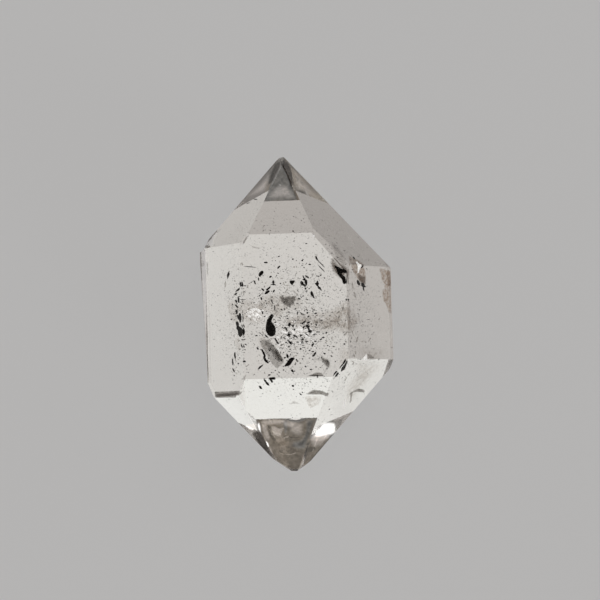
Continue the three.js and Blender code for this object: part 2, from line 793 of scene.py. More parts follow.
def inside_outline(points: Array, corners: Array) -> Array:
    """Tells which flat points lie inside a closed outline.

    Args:
        points: the points, two numbers each.
        corners: the outline's corners in order.

    Returns:
        A yes or no for each point.
    """
    inside = np.zeros(len(points), dtype=bool)
    for start, end in zip(corners, np.roll(corners, -1, axis=0)):
        spans = (start[1] > points[:, 1]) != (end[1] > points[:, 1])
        rise = end[1] - start[1] if end[1] != start[1] else TINY
        crossing = start[0] + (points[:, 1] - start[1]) * (end[0] - start[0]) / rise
        inside ^= spans & (points[:, 0] < crossing)
    return inside


JITTER = 0.18  # how far a grid's point may stray, as a share of its cell
MERGE_WITHIN = 1e-7  # points this close are one when an outline is filled


def in_millimetres(drawn: Drawn) -> list[Point]:
    """The places of a row of drawn numbers, across and up by turns."""
    return [(across / DRAWN_PER_MM, up / DRAWN_PER_MM) for across, up in zip(drawn[::2], drawn[1::2])]


def jittered_grid(corners: Array, cell: float, rng: random.Random) -> Array:
    """Spreads points evenly, but not in rows, inside an outline.

    Args:
        corners: the outline's corners in order.
        cell: how far apart the points are.
        rng: the source of the jitter.

    Returns:
        The points, half a cell or more away from the outline.
    """
    low, high = corners.min(axis=0), corners.max(axis=0)
    row_step, jitter = cell * math.sqrt(3) / 2, cell * JITTER
    points = []
    for row in range(int((high[1] - low[1]) / row_step) + 1):
        for column in range(int((high[0] - low[0]) / cell) + 2):
            across = low[0] + (column - 0.5 * (row % 2)) * cell + rng.uniform(-jitter, jitter)
            points.append((across, low[1] + row * row_step + rng.uniform(-jitter, jitter)))
    grid = np.array(points) if points else np.zeros((0, 2))
    grid = grid[inside_outline(grid, corners)]
    return grid[distance_to_edges(grid, corners) > cell * 0.5]


def fill_outline(rim: Array, inner: Array) -> tuple[Array, list[tuple[int, int, int]]]:
    """Fills an outline with well-shaped triangles.

    Args:
        rim: the outline's points in order.
        inner: points inside it.

    Returns:
        All of the points, the rim's first and in its order, and the triangles, turning left.
    """
    count = len(rim)
    sides = [(i, (i + 1) % count) for i in range(count)]
    points = np.vstack([rim, inner])
    filled = delaunay_2d_cdt([Vector(point) for point in points], sides, [], 1, MERGE_WITHIN)
    faces, origins = filled[2], filled[3]
    back = [origin[0] for origin in origins]
    triangles = []
    for face in faces:
        a, b, c = (back[corner] for corner in face)
        turn = np.cross(points[b] - points[a], points[c] - points[a])
        triangles.append((a, b, c) if turn > 0 else (a, c, b))
    return points, triangles


def round_outline(points: Sequence[Point], spacing: float) -> Array:
    """Draws a smooth closed curve through points.

    Args:
        points: the points in order.
        spacing: about how far apart the curve's own points are.

    Returns:
        The curve's points.
    """
    curve = []
    knots = [Vector(point) for point in points]
    for i, here in enumerate(knots):
        before, after, beyond = knots[i - 1], knots[(i + 1) % len(knots)], knots[(i + 2) % len(knots)]
        steps = max(1, round((after - here).length / spacing))
        for step in range(steps):
            t = step / steps
            slope_in, slope_out = (after - before) / 2, (beyond - here) / 2
            curve.append(
                here * (2 * t**3 - 3 * t**2 + 1)
                + slope_in * (t**3 - 2 * t**2 + t)
                + after * (3 * t**2 - 2 * t**3)
                + slope_out * (t**3 - t**2)
            )
    return np.array([point[:] for point in curve])


def straight_outline(points: Sequence[Point], spacing: float) -> Array:
    """Divides the sides of a polygon.

    Args:
        points: the polygon's corners in order.
        spacing: about how far apart the points are.

    Returns:
        The points along the polygon.
    """
    rim = []
    for start, end in zip(points, [*points[1:], points[0]]):
        steps = max(1, round(math.dist(start, end) / spacing))
        rim.extend(Vector(start).lerp(Vector(end), step / steps)[:] for step in range(steps))
    return np.array(rim)


# How sheets are uneven: waves and rough spots per millimetre, and how far the spots stand out.
WAVES = 1.7
ROUGH_SPOTS = 6
ROUGHNESS = 0.5
ROUGH_LAYER = 5.0
# Of the points along a sheet's edge, about this many are tried when its depth is chosen.
TRIED_SPOTS = 6
# The cells inside a sheet are this much wider than the steps along its edge.
CELL_SHARE = 1.2


@dataclass(frozen=True)
class Sheet:
    """A thin closed body drawn as it is seen, with its depth as a share of the crystal's.

    It may be given a drawn place on the natural face that it is seen through.
    """

    outline: Drawn
    level: float
    thickness: float = 0.05
    angular: bool = False
    fade: float = 0.08
    wave: float = 0.03
    spacing: float = 0.06
    face: Drawn | None = None
    once: bool = True
    rear: float = 1.0

    def half_thickness(self, gap: Array) -> Array:
        """How far each face is from the middle.

        Args:
            gap: the distance of each point from the outline.

        Returns:
            Half of the thickness at each point.
        """
        reach = min(self.thickness / 2, float(gap.max()))
        held = np.minimum(gap, reach)
        return np.sqrt(held * (2 * reach - held))

    def cover(self, gap: Array) -> Array:
        """How fully the sheet covers at each point, fading towards its outline."""
        share = np.clip(gap / self.fade, 0.0, 1.0)
        return share * share * (3 - 2 * share)

    def add_to(self, heap: Heap, sight: SightLines, rng: random.Random) -> None:
        """Adds the sheet to a heap, unless it would lie beside the crystal.

        Args:
            heap: the heap.
            sight: the sight lines into the crystal.
            rng: the source of its unevenness.
        """
        draw = straight_outline if self.angular else round_outline
        rim = draw(in_millimetres(self.outline), self.spacing)
        middle = rim.mean(axis=0)
        window = sight.window(*(in_millimetres(self.face)[0] if self.face else middle))
        if window is None:
            return
        spots = [tuple(middle), *(tuple(spot) for spot in rim[:: max(1, len(rim) // TRIED_SPOTS)])]
        base = sight.settle(window, spots, self.level) if self.once else self.level
        points, triangles = fill_outline(rim, jittered_grid(rim, self.spacing * CELL_SHARE, rng))
        gap = distance_to_edges(points, rim)
        gap[: len(rim)] = 0.0
        seed = Vector([rng.uniform(0, 99) for _ in range(3)])
        front, back = [], []
        for (across, up), half in zip(points, self.half_thickness(gap)):
            ripple = self.wave * noise.noise(Vector((across * WAVES, up * WAVES, 0.0)) + seed)
            spot = Vector((across * ROUGH_SPOTS, up * ROUGH_SPOTS, ROUGH_LAYER))
            rough = 1 + ROUGHNESS * noise.noise(spot + seed)
            level = base + ripple / window.depth
            for side, shift in ((front, -half * rough), (back, half)):
                depth = level * window.depth + shift
                place = window.place(across, up, depth / window.depth)
                side.append(sight.hold_inside(place, (across, up), depth)[:])
        count, edge = len(points), len(rim)
        behind = [tuple(i if i < edge else count + i - edge for i in face[::-1]) for face in triangles]
        cover = self.cover(gap)
        covers = np.concatenate([cover, cover[edge:] * self.rear])
        heap.add(np.array(front + back[edge:]), triangles + behind, covers)


@dataclass(frozen=True)
class Drop(Sheet):
    """A plump closed body drawn as it is seen."""

    plumpness: float = 0.8

    def half_thickness(self, gap: Array) -> Array:
        """Half of the thickness at each point, from its distance to the outline."""
        reach = float(gap.max())
        return np.sqrt(gap * (2 * reach - gap)) * self.plumpness


@dataclass(frozen=True)
class FaceFilm(Sheet):
    """A very thin film close under a natural face, whatever other faces show it too."""

    thickness: float = 0.02
    once: bool = False


@dataclass(frozen=True)
class Haze(Sheet):
    """A wide, wavy and faint film, whatever other faces show it too."""

    wave: float = 0.2
    spacing: float = 0.1
    once: bool = False


@dataclass(frozen=True)
class Fleck:
    """A small lump drawn from end to end as it is seen, in millimetres."""

    TRIES_INSIDE: ClassVar[int] = 3  # how often it is moved inwards at most, once for each face of a corner

    start: Point
    end: Point
    width: float
    level: float
    flatness: float = 0.7
    crumpling: float = 0.55
    bumps: float = 1.6
    rings: int = 2
    once: bool = True

    def add_to(self, heap: Heap, sight: SightLines, rng: random.Random) -> None:
        """Adds the fleck to a heap, unless it would lie beside the crystal.

        Args:
            heap: the heap.
            sight: the sight lines into the crystal.
            rng: the source of its unevenness.
        """
        middle = (Vector(self.start) + Vector(self.end)) / 2
        window = sight.window(*middle)
        if window is None:
            return
        level = sight.settle(window, [self.start, self.end], self.level) if self.once else self.level
        along = Vector(self.end) - Vector(self.start)
        half_length = (along.length + self.width) / 2
        along = along.normalized() if along.length > TINY else Vector((1.0, 0.0))
        seed = Vector([rng.uniform(0, 99) for _ in range(3)])
        shape, faces = ball(self.rings)
        shape = crumple(shape, self.crumpling, self.bumps, seed)
        shape = shape * np.array((half_length, self.width / 2, self.width / 2 * self.flatness))
        right, top, near = (np.array(axis) for axis in window.axes(*middle, level))
        long_way = right * along.x + top * along.y
        wide_way = top * along.x - right * along.y
        middle_place = window.place(*middle, level)
        points = np.array(middle_place) + shape @ np.array([long_way, wide_way, near])
        if sight.near_surface(middle_place):
            for _ in range(self.TRIES_INSIDE):
                points = points - sight.way_out(points)
        heap.add(points, faces)


# ---- Quartz body ----

SIN_60, COS_60 = 0.866, 0.5
STRAIGHT_UP = (0.0, 0.0, 1.0)
OFF_FACE = 0.02  # a groove that stands further off a face's plane than this isn't on it
EDGE_FACES = 1  # the material index of the narrow faces along the edges


@dataclass(frozen=True)
class Groove:
    """A fine line on a natural face, drawn from end to end as it is seen."""

    start: Point
    end: Point
    width: float
    depth: float

    def on_surface(self, sight: SightLines) -> tuple[Vector, Vector] | None:
        """Finds where it is on the crystal.

        Args:
            sight: the sight lines onto the crystal.

        Returns:
            The places where it starts and ends, or None if they aren't on one face.
        """
        start, end = sight.surface(*self.start), sight.surface(*self.end)
        if start is None or end is None or start[1].dot(end[1]) < sight.SAME_WAY:
            return None
        return start[0], end[0]


@dataclass(frozen=True)
class FacePlane:
    """Flat coordinates on one natural face: across it, and along the crystal as far as it runs."""

    origin: Vector
    across: Vector
    along: Vector
    normal: Vector

    @classmethod
    def of(cls, place: Vector, normal: Vector) -> "FacePlane":
        """Lays coordinates on a face.

        Args:
            place: a place on the face.
            normal: the face's normal.

        Returns:
            The coordinates.
        """
        long_axis = Vector((0.0, 1.0, 0.0)) if abs(normal.y) < 0.9 else Vector((1.0, 0.0, 0.0))
        along = (long_axis - normal * long_axis.dot(normal)).normalized()
        return cls(place, along.cross(normal), along, normal)

    def flat(self, places: Array) -> Array:
        """The flat coordinates of places."""
        return (places - np.array(self.origin)) @ np.array([self.across, self.along]).T

    def raised(self, points: Array) -> Array:
        """The places of flat coordinates."""
        return points @ np.array([self.across, self.along]) + np.array(self.origin)

    @property
    def is_prism(self) -> bool:
        """Whether the face runs along the crystal."""
        return abs(self.normal.y) < 0.05


@dataclass(frozen=True)
class Relief:
    """The fine relief of the natural faces: heights in millimetres, and how close it stands.

    Pairs are for across the face and along it, per millimetre.
    """

    swell: float = 0.0025
    swells: float = 0.3
    line_height: float = 0.0005
    lines: Point = (0.35, 3.2)
    step_height: float = 0.0009
    steps: Point = (0.25, 0.55)
    step_count: int = 5
    step_slope: int = 6
    mound_height: float = 0.0014
    mound_radius: float = 1.5
    smallest_mound: float = 0.4
    mound_count: int = 7
    taper: float = 0.35

    def mounds(self, rim: Array, rng: random.Random) -> list[tuple[float, float, float]]:
        """Chooses where the low three-sided growth mounds of a tip face stand.

        Args:
            rim: the face's outline.
            rng: the source of the choice.

        Returns:
            Across, along and radius for each.
        """
        low, high = rim.min(axis=0), rim.max(axis=0)
        chosen = []
        for _ in range(self.mound_count):
            place = rng.uniform(low[0], high[0]), rng.uniform(low[1], high[1])
            chosen.append((*place, self.mound_radius * rng.uniform(self.smallest_mound, 1.0)))
        return chosen

    def height(self, plane: FacePlane, across: float, along: float, mounds: Iterable[tuple]) -> float:
        """The relief at a place on a face.

        Args:
            plane: the face.
            across: the place across it.
            along: the place along it.
            mounds: the face's growth mounds.

        Returns:
            The height.
        """
        seed = plane.origin * 3.7

        def bumps(across_density: float, along_density: float, layer: float) -> float:
            """Smooth noise on the face, from -1 to 1."""
            return noise.noise(Vector((across * across_density, along * along_density, layer)) + seed)

        lift = self.swell * bumps(self.swells, self.swells, 0.0)
        if plane.is_prism:
            lift += self.line_height * bumps(*self.lines, 1.0)
            terrace = bumps(*self.steps, 2.0) * self.step_count
            share = terrace - math.floor(terrace)
            climbed = math.floor(terrace) + min(1.0, share * self.step_slope)
            return lift + self.step_height * climbed / self.step_count
        for centre_across, centre_along, radius in mounds:
            x, y = across - centre_across, along - centre_along
            reach = max(-y, COS_60 * y + SIN_60 * x, COS_60 * y - SIN_60 * x) / radius
            lift += self.mound_height * max(0.0, 1 - reach) * radius / self.mound_radius
        return lift


@dataclass
class QuartzBody:
    """The quartz itself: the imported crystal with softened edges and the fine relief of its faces."""

    finish: QuartzFinish = field(default_factory=QuartzFinish)
    relief: Relief = field(default_factory=Relief)
    grooves: tuple[Groove, ...] = ()
    cell: float = 0.125
    groove_step: float = 0.05
    groove_gap: float = 0.45
    edge_width: float = 0.01
    flat_angle: float = 0.5
    nick_depth: float = 0.008
    nicks: float = 2.3
    fine_nicks: float = 9.0
    fine_share: float = 0.45
    spared: float = 0.12
    seed: int = 11

    def soften(self, crystal: Object) -> bmesh.types.BMesh:
        """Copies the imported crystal, with each natural face in one piece and narrow round edges.

        Args:
            crystal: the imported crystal.

        Returns:
            The copy, whose narrow faces have the material index of edges.
        """
        bm = bmesh.new()
        bm.from_mesh(crystal.data)
        for vertex in bm.verts:
            vertex.co = vertex.co / MM - CENTRE
        bmesh.ops.remove_doubles(bm, verts=bm.verts, dist=0.001)
        flat = math.radians(self.flat_angle)
        bmesh.ops.dissolve_limit(bm, angle_limit=flat, verts=bm.verts, edges=bm.edges)
        bmesh.ops.bevel(
            bm,
            geom=bm.edges[:],
            offset=self.edge_width,
            offset_type="OFFSET",
            segments=2,
            profile=0.5,
            affect="EDGES",
            clamp_overlap=True,
            material=EDGE_FACES,
        )
        bm.normal_update()
        return bm

    def divide_edges(self, bm: bmesh.types.BMesh, places: list[Vector]) -> dict[int, list[int]]:
        """Divides every edge into even steps.

        Args:
            bm: the softened crystal, with its vertices numbered.
            places: the places so far, one for each vertex, that the new ones are added to.

        Returns:
            The numbers of the places along each edge.
        """
        rows = {}
        for edge in bm.edges:
            start, end = edge.verts
            steps = max(1, round(edge.calc_length() / self.cell))
            between = range(len(places), len(places) + steps - 1)
            places.extend(start.co.lerp(end.co, step / steps) for step in range(1, steps))
            rows[edge.index] = [start.index, *between, end.index]
        return rows

    def walk_rim(self, face: bmesh.types.BMFace, rows: dict[int, list[int]]) -> list[int]:
        """Walks round a face.

        Args:
            face: the face.
            rows: the numbers of the places along each edge.

        Returns:
            The numbers of the places round it.
        """
        rim: list[int] = []
        for loop in face.loops:
            row = rows[loop.edge.index]
            rim.extend(row[:-1] if row[0] == loop.vert.index else row[:0:-1])
        return rim

    def groove_rows(self, plane: FacePlane, lines: Iterable[tuple[Groove, Vector, Vector]]) -> Array:
        """Extra points along the grooves of one face.

        Args:
            plane: the face.
            lines: each groove and where it starts and ends.

        Returns:
            The points, in the face's flat coordinates.
        """
        points = []
        for groove, start, end in lines:
            if abs((start - plane.origin).dot(plane.normal)) > OFF_FACE:
                continue
            side = (end - start).cross(plane.normal).normalized()
            steps = max(2, round((end - start).length / self.groove_step))
            for step in range(steps + 1):
                for shift in (-0.5, 0.0, 0.5):
                    points.append((start.lerp(end, step / steps) + side * groove.width * shift)[:])
        return plane.flat(np.array(points)) if points else np.zeros((0, 2))

    def sculpt(
        self, plane: FacePlane, rim: Array, points: Array, lines: list, rng: random.Random
    ) -> Array:
        """Gives a face its relief.

        Args:
            plane: the face.
            rim: its outline.
            points: the flat points inside it.
            lines: each groove and where it starts and ends.
            rng: the source of its unevenness.

        Returns:
            The raised places of the points.
        """
        mounds = self.relief.mounds(rim, rng)
        ease = np.clip(distance_to_edges(points, rim) / self.relief.taper, 0.0, 1.0)
        heights = np.array([self.relief.height(plane, x, y, mounds) for x, y in points])
        heights = heights * ease * ease * (3 - 2 * ease)
        for groove, start, end in lines:
            if abs((start - plane.origin).dot(plane.normal)) > OFF_FACE:
                continue
            ends = plane.flat(np.array([start[:], end[:]]))
            away = distance_to_edges(points, ends) / groove.width
            heights -= groove.depth * np.clip(1 - (2 * away) ** 2, 0.0, 1.0)
        return plane.raised(points) + heights[:, None] * np.array(plane.normal)

    def build(self, crystal: Object, sight: SightLines, effects: EffectShelf) -> None:
        """Makes the quartz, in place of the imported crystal.

        Args:
            crystal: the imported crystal.
            sight: the sight lines onto it.
            effects: the shared effects.
        """
        rng = random.Random(self.seed)
        bm = self.soften(crystal)
        places = [vertex.co.copy() for vertex in bm.verts]
        rows = self.divide_edges(bm, places)
        lines = [(groove, *ends) for groove in self.grooves if (ends := groove.on_surface(sight))]
        on_face: set[int] = set()
        faces: list[tuple[int, ...]] = []
        edges: list[tuple[int, ...]] = []
        for face in bm.faces:
            numbers = self.walk_rim(face, rows)
            plane = FacePlane.of(face.calc_center_median(), face.normal)
            rim = plane.flat(np.array([places[i][:] for i in numbers]))
            natural = face.material_index != EDGE_FACES
            inner = np.zeros((0, 2))
            if natural:
                extra = self.groove_rows(plane, lines)
                inner = jittered_grid(rim, self.cell, rng)
                if len(extra):
                    near = np.linalg.norm(inner[:, None] - extra[None], axis=2).min(axis=1)
                    inner = np.vstack([inner[near > self.cell * self.groove_gap], extra])
            points, triangles = fill_outline(rim, inner)
            if natural:
                raised = self.sculpt(plane, rim, points[len(rim) :], lines, rng)
                numbers.extend(range(len(places), len(places) + len(raised)))
                places.extend(Vector(place) for place in raised)
                on_face.update(numbers)
            target = faces if natural else edges
            target.extend(tuple(numbers[i] for i in triangle) for triangle in triangles)
        bm.free()
        spots = np.array([place[:] for place in places])
        wear = np.array([0.0 if i in on_face else 1.0 for i in range(len(spots))])
        normals = np.where(wear[:, None] > 0, corner_normals(spots, edges), corner_normals(spots, faces))
        nicks = np.array([self.nick(place) for place in places])
        spots -= normals * (wear * nicks * self.nick_depth)[:, None]
        mesh = bpy.data.meshes.new("quartz")
        mesh.from_pydata(((spots + np.array(CENTRE)) * MM).tolist(), [], faces + edges)
        mesh.shade_smooth()
        mesh.normals_split_custom_set_from_vertices(normals.tolist())
        mesh.attributes.new("wear", "FLOAT", "POINT").data.foreach_set("value", wear.astype(np.float32))
        self.dress(mesh, effects)

    def nick(self, place: Vector) -> float:
        """How deeply an edge is nicked at a place, as a share of the deepest nick."""
        fine = self.fine_share * noise.noise(place * self.fine_nicks)
        return max(0.0, noise.noise(place * self.nicks) + fine - self.spared)

    def dress(self, mesh: bpy.types.Mesh, effects: EffectShelf) -> None:
        """Gives the quartz its finish and hangs it in the frame.

        Args:
            mesh: the quartz's mesh.
            effects: the shared effects.
        """
        mesh.materials.append(self.finish.make(effects))
        body = bpy.data.objects.new("quartz", mesh)
        bpy.context.scene.collection.objects.link(body)
        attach(body, "root")
        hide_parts("crystal")
        LOG.info("quartz: %d faces", len(mesh.polygons))


def corner_normals(spots: Array, triangles: Sequence[Sequence[int]]) -> Array:
    """The average normal of the triangles at each corner.

    Args:
        spots: the places of the corners.
        triangles: the triangles, by corner.

    Returns:
        One normal for each place, straight up where there is no triangle.
    """
    corners = np.array(triangles)
    a, b, c = (spots[corners[:, i]] for i in range(3))
    across = np.cross(b - a, c - a)
    normals = np.zeros_like(spots)
    for i in range(3):
        np.add.at(normals, corners[:, i], across)
    size = np.linalg.norm(normals, axis=1, keepdims=True)
    return np.where(size > TINY, normals / np.maximum(size, TINY), STRAIGHT_UP)


# ---- What is sealed in the quartz, and films of painted light and shade ----

Finish = CarbonFinish | FilmFinish | FrostGlowFinish


@dataclass(frozen=True)
class Cloud:
    """A soft oval cloud of fine grains, in millimetres and degrees. Most of them are small."""

    SMALLNESS: ClassVar[int] = 3  # the higher this power, the fewer large grains

    centre: Point
    spread: Point
    turn: float
    count: int
    smallest: float = 0.025
    largest: float = 0.07
    length: float = 1.4
    slant: float = 0.5
    levels: Point = (0.25, 0.65)
    once: bool = True

    def grains(self, rng: random.Random) -> list[Fleck]:
        """Scatters the grains.

        Args:
            rng: the source of the scatter.

        Returns:
            The grains.
        """
        turn = Matrix.Rotation(math.radians(self.turn), 2)
        grains = []
        for _ in range(self.count):
            place = turn @ Vector((rng.gauss(0, self.spread[0]), rng.gauss(0, self.spread[1])))
            place += Vector(self.centre)
            size = self.smallest + (self.largest - self.smallest) * rng.random() ** self.SMALLNESS
            length, rise = rng.uniform(0, self.length), rng.uniform(-self.slant, self.slant)
            reach = turn @ Vector((length * size, rise * size))
            level = rng.uniform(*self.levels)
            grains.append(Fleck(tuple(place), tuple(place + reach), size, level, rings=1, once=self.once))
        return grains


@dataclass
class Inclusion:
    """Something sealed in the quartz, or films of painted light or shade in it, made as one joined piece."""

    name: str
    finish: Finish
    shapes: Sequence[Sheet | Fleck] = ()
    clouds: Sequence[Cloud] = ()
    seed: int = 0

    def build(self, sight: SightLines, effects: EffectShelf) -> None:
        """Makes the piece.

        Args:
            sight: the sight lines into the crystal.
            effects: the shared effects.
        """
        rng = random.Random(self.seed)
        heap = Heap()
        for shape in self.shapes:
            shape.add_to(heap, sight, rng)
        for cloud in self.clouds:
            for grain in cloud.grains(rng):
                grain.add_to(heap, sight, rng)
        heap.make_piece(self.name, self.finish.make(effects))


def flecks(rows: Iterable[Drawn], seed: int, levels: Point, **looks: float) -> list[Fleck]:
    """Turns short rows of drawn numbers into flecks at uneven depths.

    Args:
        rows: across and up where each starts, how far on across and up it ends, and its width.
        seed: for the depths.
        levels: the shallowest and the deepest.
        looks: what all of the flecks have in common.

    Returns:
        The flecks.
    """
    rng = random.Random(seed)
    made = []
    for across, up, on, higher, width in rows:
        start, end = in_millimetres((across, up, across + on, up + higher))
        made.append(Fleck(start, end, width / DRAWN_PER_MM, rng.uniform(*levels), **looks))
    return made


# Drawn places on the natural faces that films close under them are seen through.
SMALL_FACE = (-130, 855)
UPPER_LEFT = (-221, 926)
UPPER_RIGHT = (-11, 926)
LOWER_TIP = (-102, -830)
LOWER_LEFT = (-291, -900)
LOWER_RIGHT = (179, -830)
LOWER_CORNER = (270, -788)
LEFT_BEVEL = (-380, 501)
LEFT_SHOULDER = (-550, 550)
LEFT_LEDGE = (-675, 350)
LEDGE_FOOT = (-640, 350)

# Carbon flecks, drawn as across and up at one end, how far on the other end is, and the width.
DARK_FLECKS = (
    (-242, 346, 14, 0, 10), (-496, 279, -8, -35, 15), (-207, 244, 7, 4, 11), (-228, 157, 16, 12, 13),
    (-263, 160, 10, -10, 11), (-235, 132, 17, 11, 17), (-185, 139, 6, 11, 11), (-416, 202, 4, -21, 13),
    (-442, 147, 16, 13, 13), (-453, 121, 11, 11, 11), (-184, 213, 1, -11, 15), (-197, 192, 25, 0, 8),
    (-46, 371, 0, 0, 12), (25, 251, 10, -21, 9), (46, 251, 16, -11, 12), (16, 206, 5, -11, 20),
    (46, 216, 2, -17, 18), (28, 227, 14, -4, 11), (35, 188, 4, -7, 13), (41, 165, 2, -2, 11),
    (126, 206, -2, -16, 18), (113, 197, 4, -2, 11), (130, 179, 17, -19, 14), (85, 132, 11, -23, 18),
    (98, 104, 5, -7, 8), (116, 385, 8, -18, 11), (-430, 100, 4, -31, 13), (-446, 79, 4, -10, 12),
    (-439, 58, 0, -1, 8), (-449, 48, 17, -19, 11), (-443, 6, 3, -14, 15), (-419, -22, 3, -39, 20),
    (-432, -29, 3, -18, 13), (-405, -93, 4, -14, 8), (-269, 97, 3, -9, 11), (-263, 11, 5, -21, 10),
    (-175, 41, 0, -21, 8), (-126, 16, 3, -1, 10), (-195, 83, 2, -14, 8), (-169, -75, 3, -14, 11),
    (-240, -163, 15, -16, 10), (-172, -187, 25, -39, 11), (-74, -94, 6, 11, 18), (-74, -152, 0, -11, 20),
    (-95, -114, 7, -17, 12), (-48, -108, 8, 15, 8), (-35, -124, 0, -2, 11), (-42, -163, 27, -16, 11),
    (-81, -198, 21, -28, 12), (-95, -216, 4, -1, 10), (-77, -246, 5, 3, 10), (13, -221, 5, 9, 11),
    (25, -114, 7, 9, 11), (46, -100, 19, 0, 15), (67, -137, 11, 1, 19), (50, -160, 10, -10, 11),
    (58, -77, 9, 3, 12), (22, -79, 7, 2, 10), (7, -6, 20, -16, 8), (53, -7, 2, 1, 12), (-15, -1, 1, -17, 8),
    (-4, 91, 3, 0, 11), (342, 86, 2, -3, 11), (197, -237, 1, 0, 8), (69, -271, 4, 1, 9),
    (88, -239, 10, 13, 11), (96, -310, 17, 22, 13), (174, -292, 4, -2, 11), (-22, -336, 7, -12, 9),
    (42, -383, 2, -2, 10), (-54, -409, 8, -10, 13), (-86, -302, 4, -15, 15), (-109, -324, 10, 3, 9),
    (-262, -268, 17, -35, 15), (-246, -307, 1, -24, 15), (-239, -338, 15, -17, 16), (-296, -254, 5, -7, 11),
    (-287, -398, 24, 20, 12), (-245, -479, 12, -14, 13), (-233, -496, 14, -15, 15), (-211, -473, 39, 2, 10),
    (-200, -480, 8, -10, 15), (-279, -526, 11, -11, 15), (-48, -520, 2, 0, 14), (-455, -289, 3, -35, 12),
    (-471, -335, 4, -32, 11), (-467, -402, 8, -17, 11), (-430, -362, 1, 0, 10), (-386, -347, 3, -1, 11),
    (272, -428, -16, -24, 14), (-409, -230, 7, -19, 9), (-215, -444, 5, 0, 11), (409, 213, 9, -18, 18),
    (440, 192, 13, -13, 21), (447, 172, 5, -19, 10), (433, 311, 12, 9, 10), (376, 385, 11, -14, 9),
    (-320, 218, 11, -23, 9), (-318, 791, 17, -2, 7), (-46, 567, 2, 0, 8), (-141, 390, -7, -2, 8),
    (-152, 308, 11, 11, 11), (-288, 235, 1, -10, 10), (320, -378, -22, -30, 17), (334, -350, -14, -26, 13),
)

# Paler, thinner flecks, given the same way.
PALE_FLECKS = (
    (-521, 209, -1, -35, 11), (-452, -324, 3, -22, 9), (-393, 164, 3, -1, 11), (-362, 185, 0, -14, 9),
    (-411, 132, 11, 0, 8), (-128, 235, 7, -1, 11), (-113, 205, 4, -10, 11), (-102, 185, 28, 2, 9),
    (-105, 132, 21, 28, 9), (-79, 258, 1, -2, 8), (-39, 315, 4, 0, 11), (-21, 320, 1, -5, 8),
    (-198, 275, 2, 2, 7), (-263, 209, 2, -1, 8), (-239, 202, 4, 0, 8), (-81, 388, 2, 0, 7),
    (-404, 343, 2, -11, 11), (-430, 301, 0, -2, 9), (-456, 216, 3, -1, 11), (-44, 147, 8, -7, 10),
    (-25, 132, 7, -10, 8), (46, 393, 8, -12, 8), (119, 136, 2, -7, 10), (338, 251, 5, -49, 10),
    (369, 202, 5, -38, 11), (383, 139, 11, -42, 10), (-421, -198, -7, -11, 9), (-454, -205, -2, -18, 7),
    (-481, -230, 1, 0, 7), (-360, 15, 11, 12, 11), (-249, 65, 2, -7, 11), (-217, 72, 7, -3, 11),
    (-197, 48, 2, -7, 9), (-151, 51, 3, -7, 12), (-84, 4, 10, -8, 11), (-263, -135, 14, -21, 8),
    (-214, -198, 21, 14, 8), (-105, -110, 10, -18, 8), (-116, -233, 7, 7, 10), (-29, -247, 2, -14, 12),
    (6, -166, 8, 10, 8), (39, 76, 14, -18, 7), (48, 34, 2, -19, 10), (85, 31, 3, -9, 11), (97, 15, 8, -2, 8),
    (110, -34, 3, -5, 10), (119, -68, 8, -7, 13), (144, -72, 18, 9, 12), (179, -112, 23, 9, 13),
    (213, -93, 4, -12, 12), (303, 20, 7, 25, 10), (346, -15, 3, -29, 8), (310, -107, 12, 31, 10),
    (256, -19, 28, 28, 8), (182, -216, 10, 9, 11), (110, -270, 2, -1, 8), (202, -271, 9, 1, 8),
    (238, -244, 8, 1, 9), (228, -174, 0, -21, 7), (320, -205, 14, -11, 7), (315, -166, 17, 24, 8),
    (-272, -263, 9, -9, 9), (-291, -409, 1, -1, 7), (-246, -427, 2, -4, 7), (-207, -556, 2, -2, 8),
    (-177, -504, 5, -7, 7), (-446, -430, 4, -5, 7), (-430, -334, 1, -2, 8), (-365, -377, 9, 6, 8),
    (-289, -344, 2, 0, 8), (-46, -317, 28, 14, 7), (124, -309, 2, -3, 7), (-29, -358, 2, -3, 11),
    (4, -358, 1, -3, 10), (46, -472, 2, -1, 10), (75, -489, 2, -1, 8), (-4, -496, 3, -1, 7),
    (341, -444, 11, 14, 8), (315, -486, 14, 21, 7), (362, -346, 21, -7, 7), (380, -357, -11, -17, 8),
    (391, -278, 3, -16, 10), (381, -306, 5, -9, 10), (397, -216, 11, 35, 11), (369, -138, 10, -29, 8),
    (461, -211, 6, -4, 8), (445, -90, 5, -3, 8), (555, -55, 6, 6, 8), (485, -208, 13, 24, 8),
    (435, -212, 8, 4, 8), (252, -173, 3, -4, 7),
)

CARBON_DROPS = (
    Drop(  # centre drop
        (-199, -15, -182, -25, -190, -47, -195, -68, -176, -96, -165, -128, -172, -159, -193, -174,
         -216, -166, -235, -138, -236, -100, -230, -61, -216, -40), 0.42),
    Drop(  # left drop
        (-438, -93, -414, -107, -397, -129, -399, -156, -415, -178, -429, -162, -435, -131, -444, -117),
        0.45),
    Drop(  # left link
        (-446, -69, -429, -74, -425, -93, -432, -110, -445, -93), 0.45),
    Drop(  # upper drop
        (-259, 289, -252, 274, -265, 258, -280, 246, -288, 261, -277, 282), 0.38),
    Drop(  # slab
        (-106, -383, -88, -353, -64, -324, -34, -323, -50, -351, -71, -377), 0.5, plumpness=0.5),
    Drop(  # hook
        (-68, 218, -33, 219, -42, 199, -51, 187, -64, 199), 0.35),
    Drop(  # right mass
        (249, 322, 273, 315, 296, 302, 317, 296, 328, 282, 322, 270, 307, 275, 298, 272, 303, 258, 318, 249,
         325, 228, 328, 204, 317, 194, 304, 202, 298, 226, 282, 246, 265, 268, 261, 294), 0.3),
)
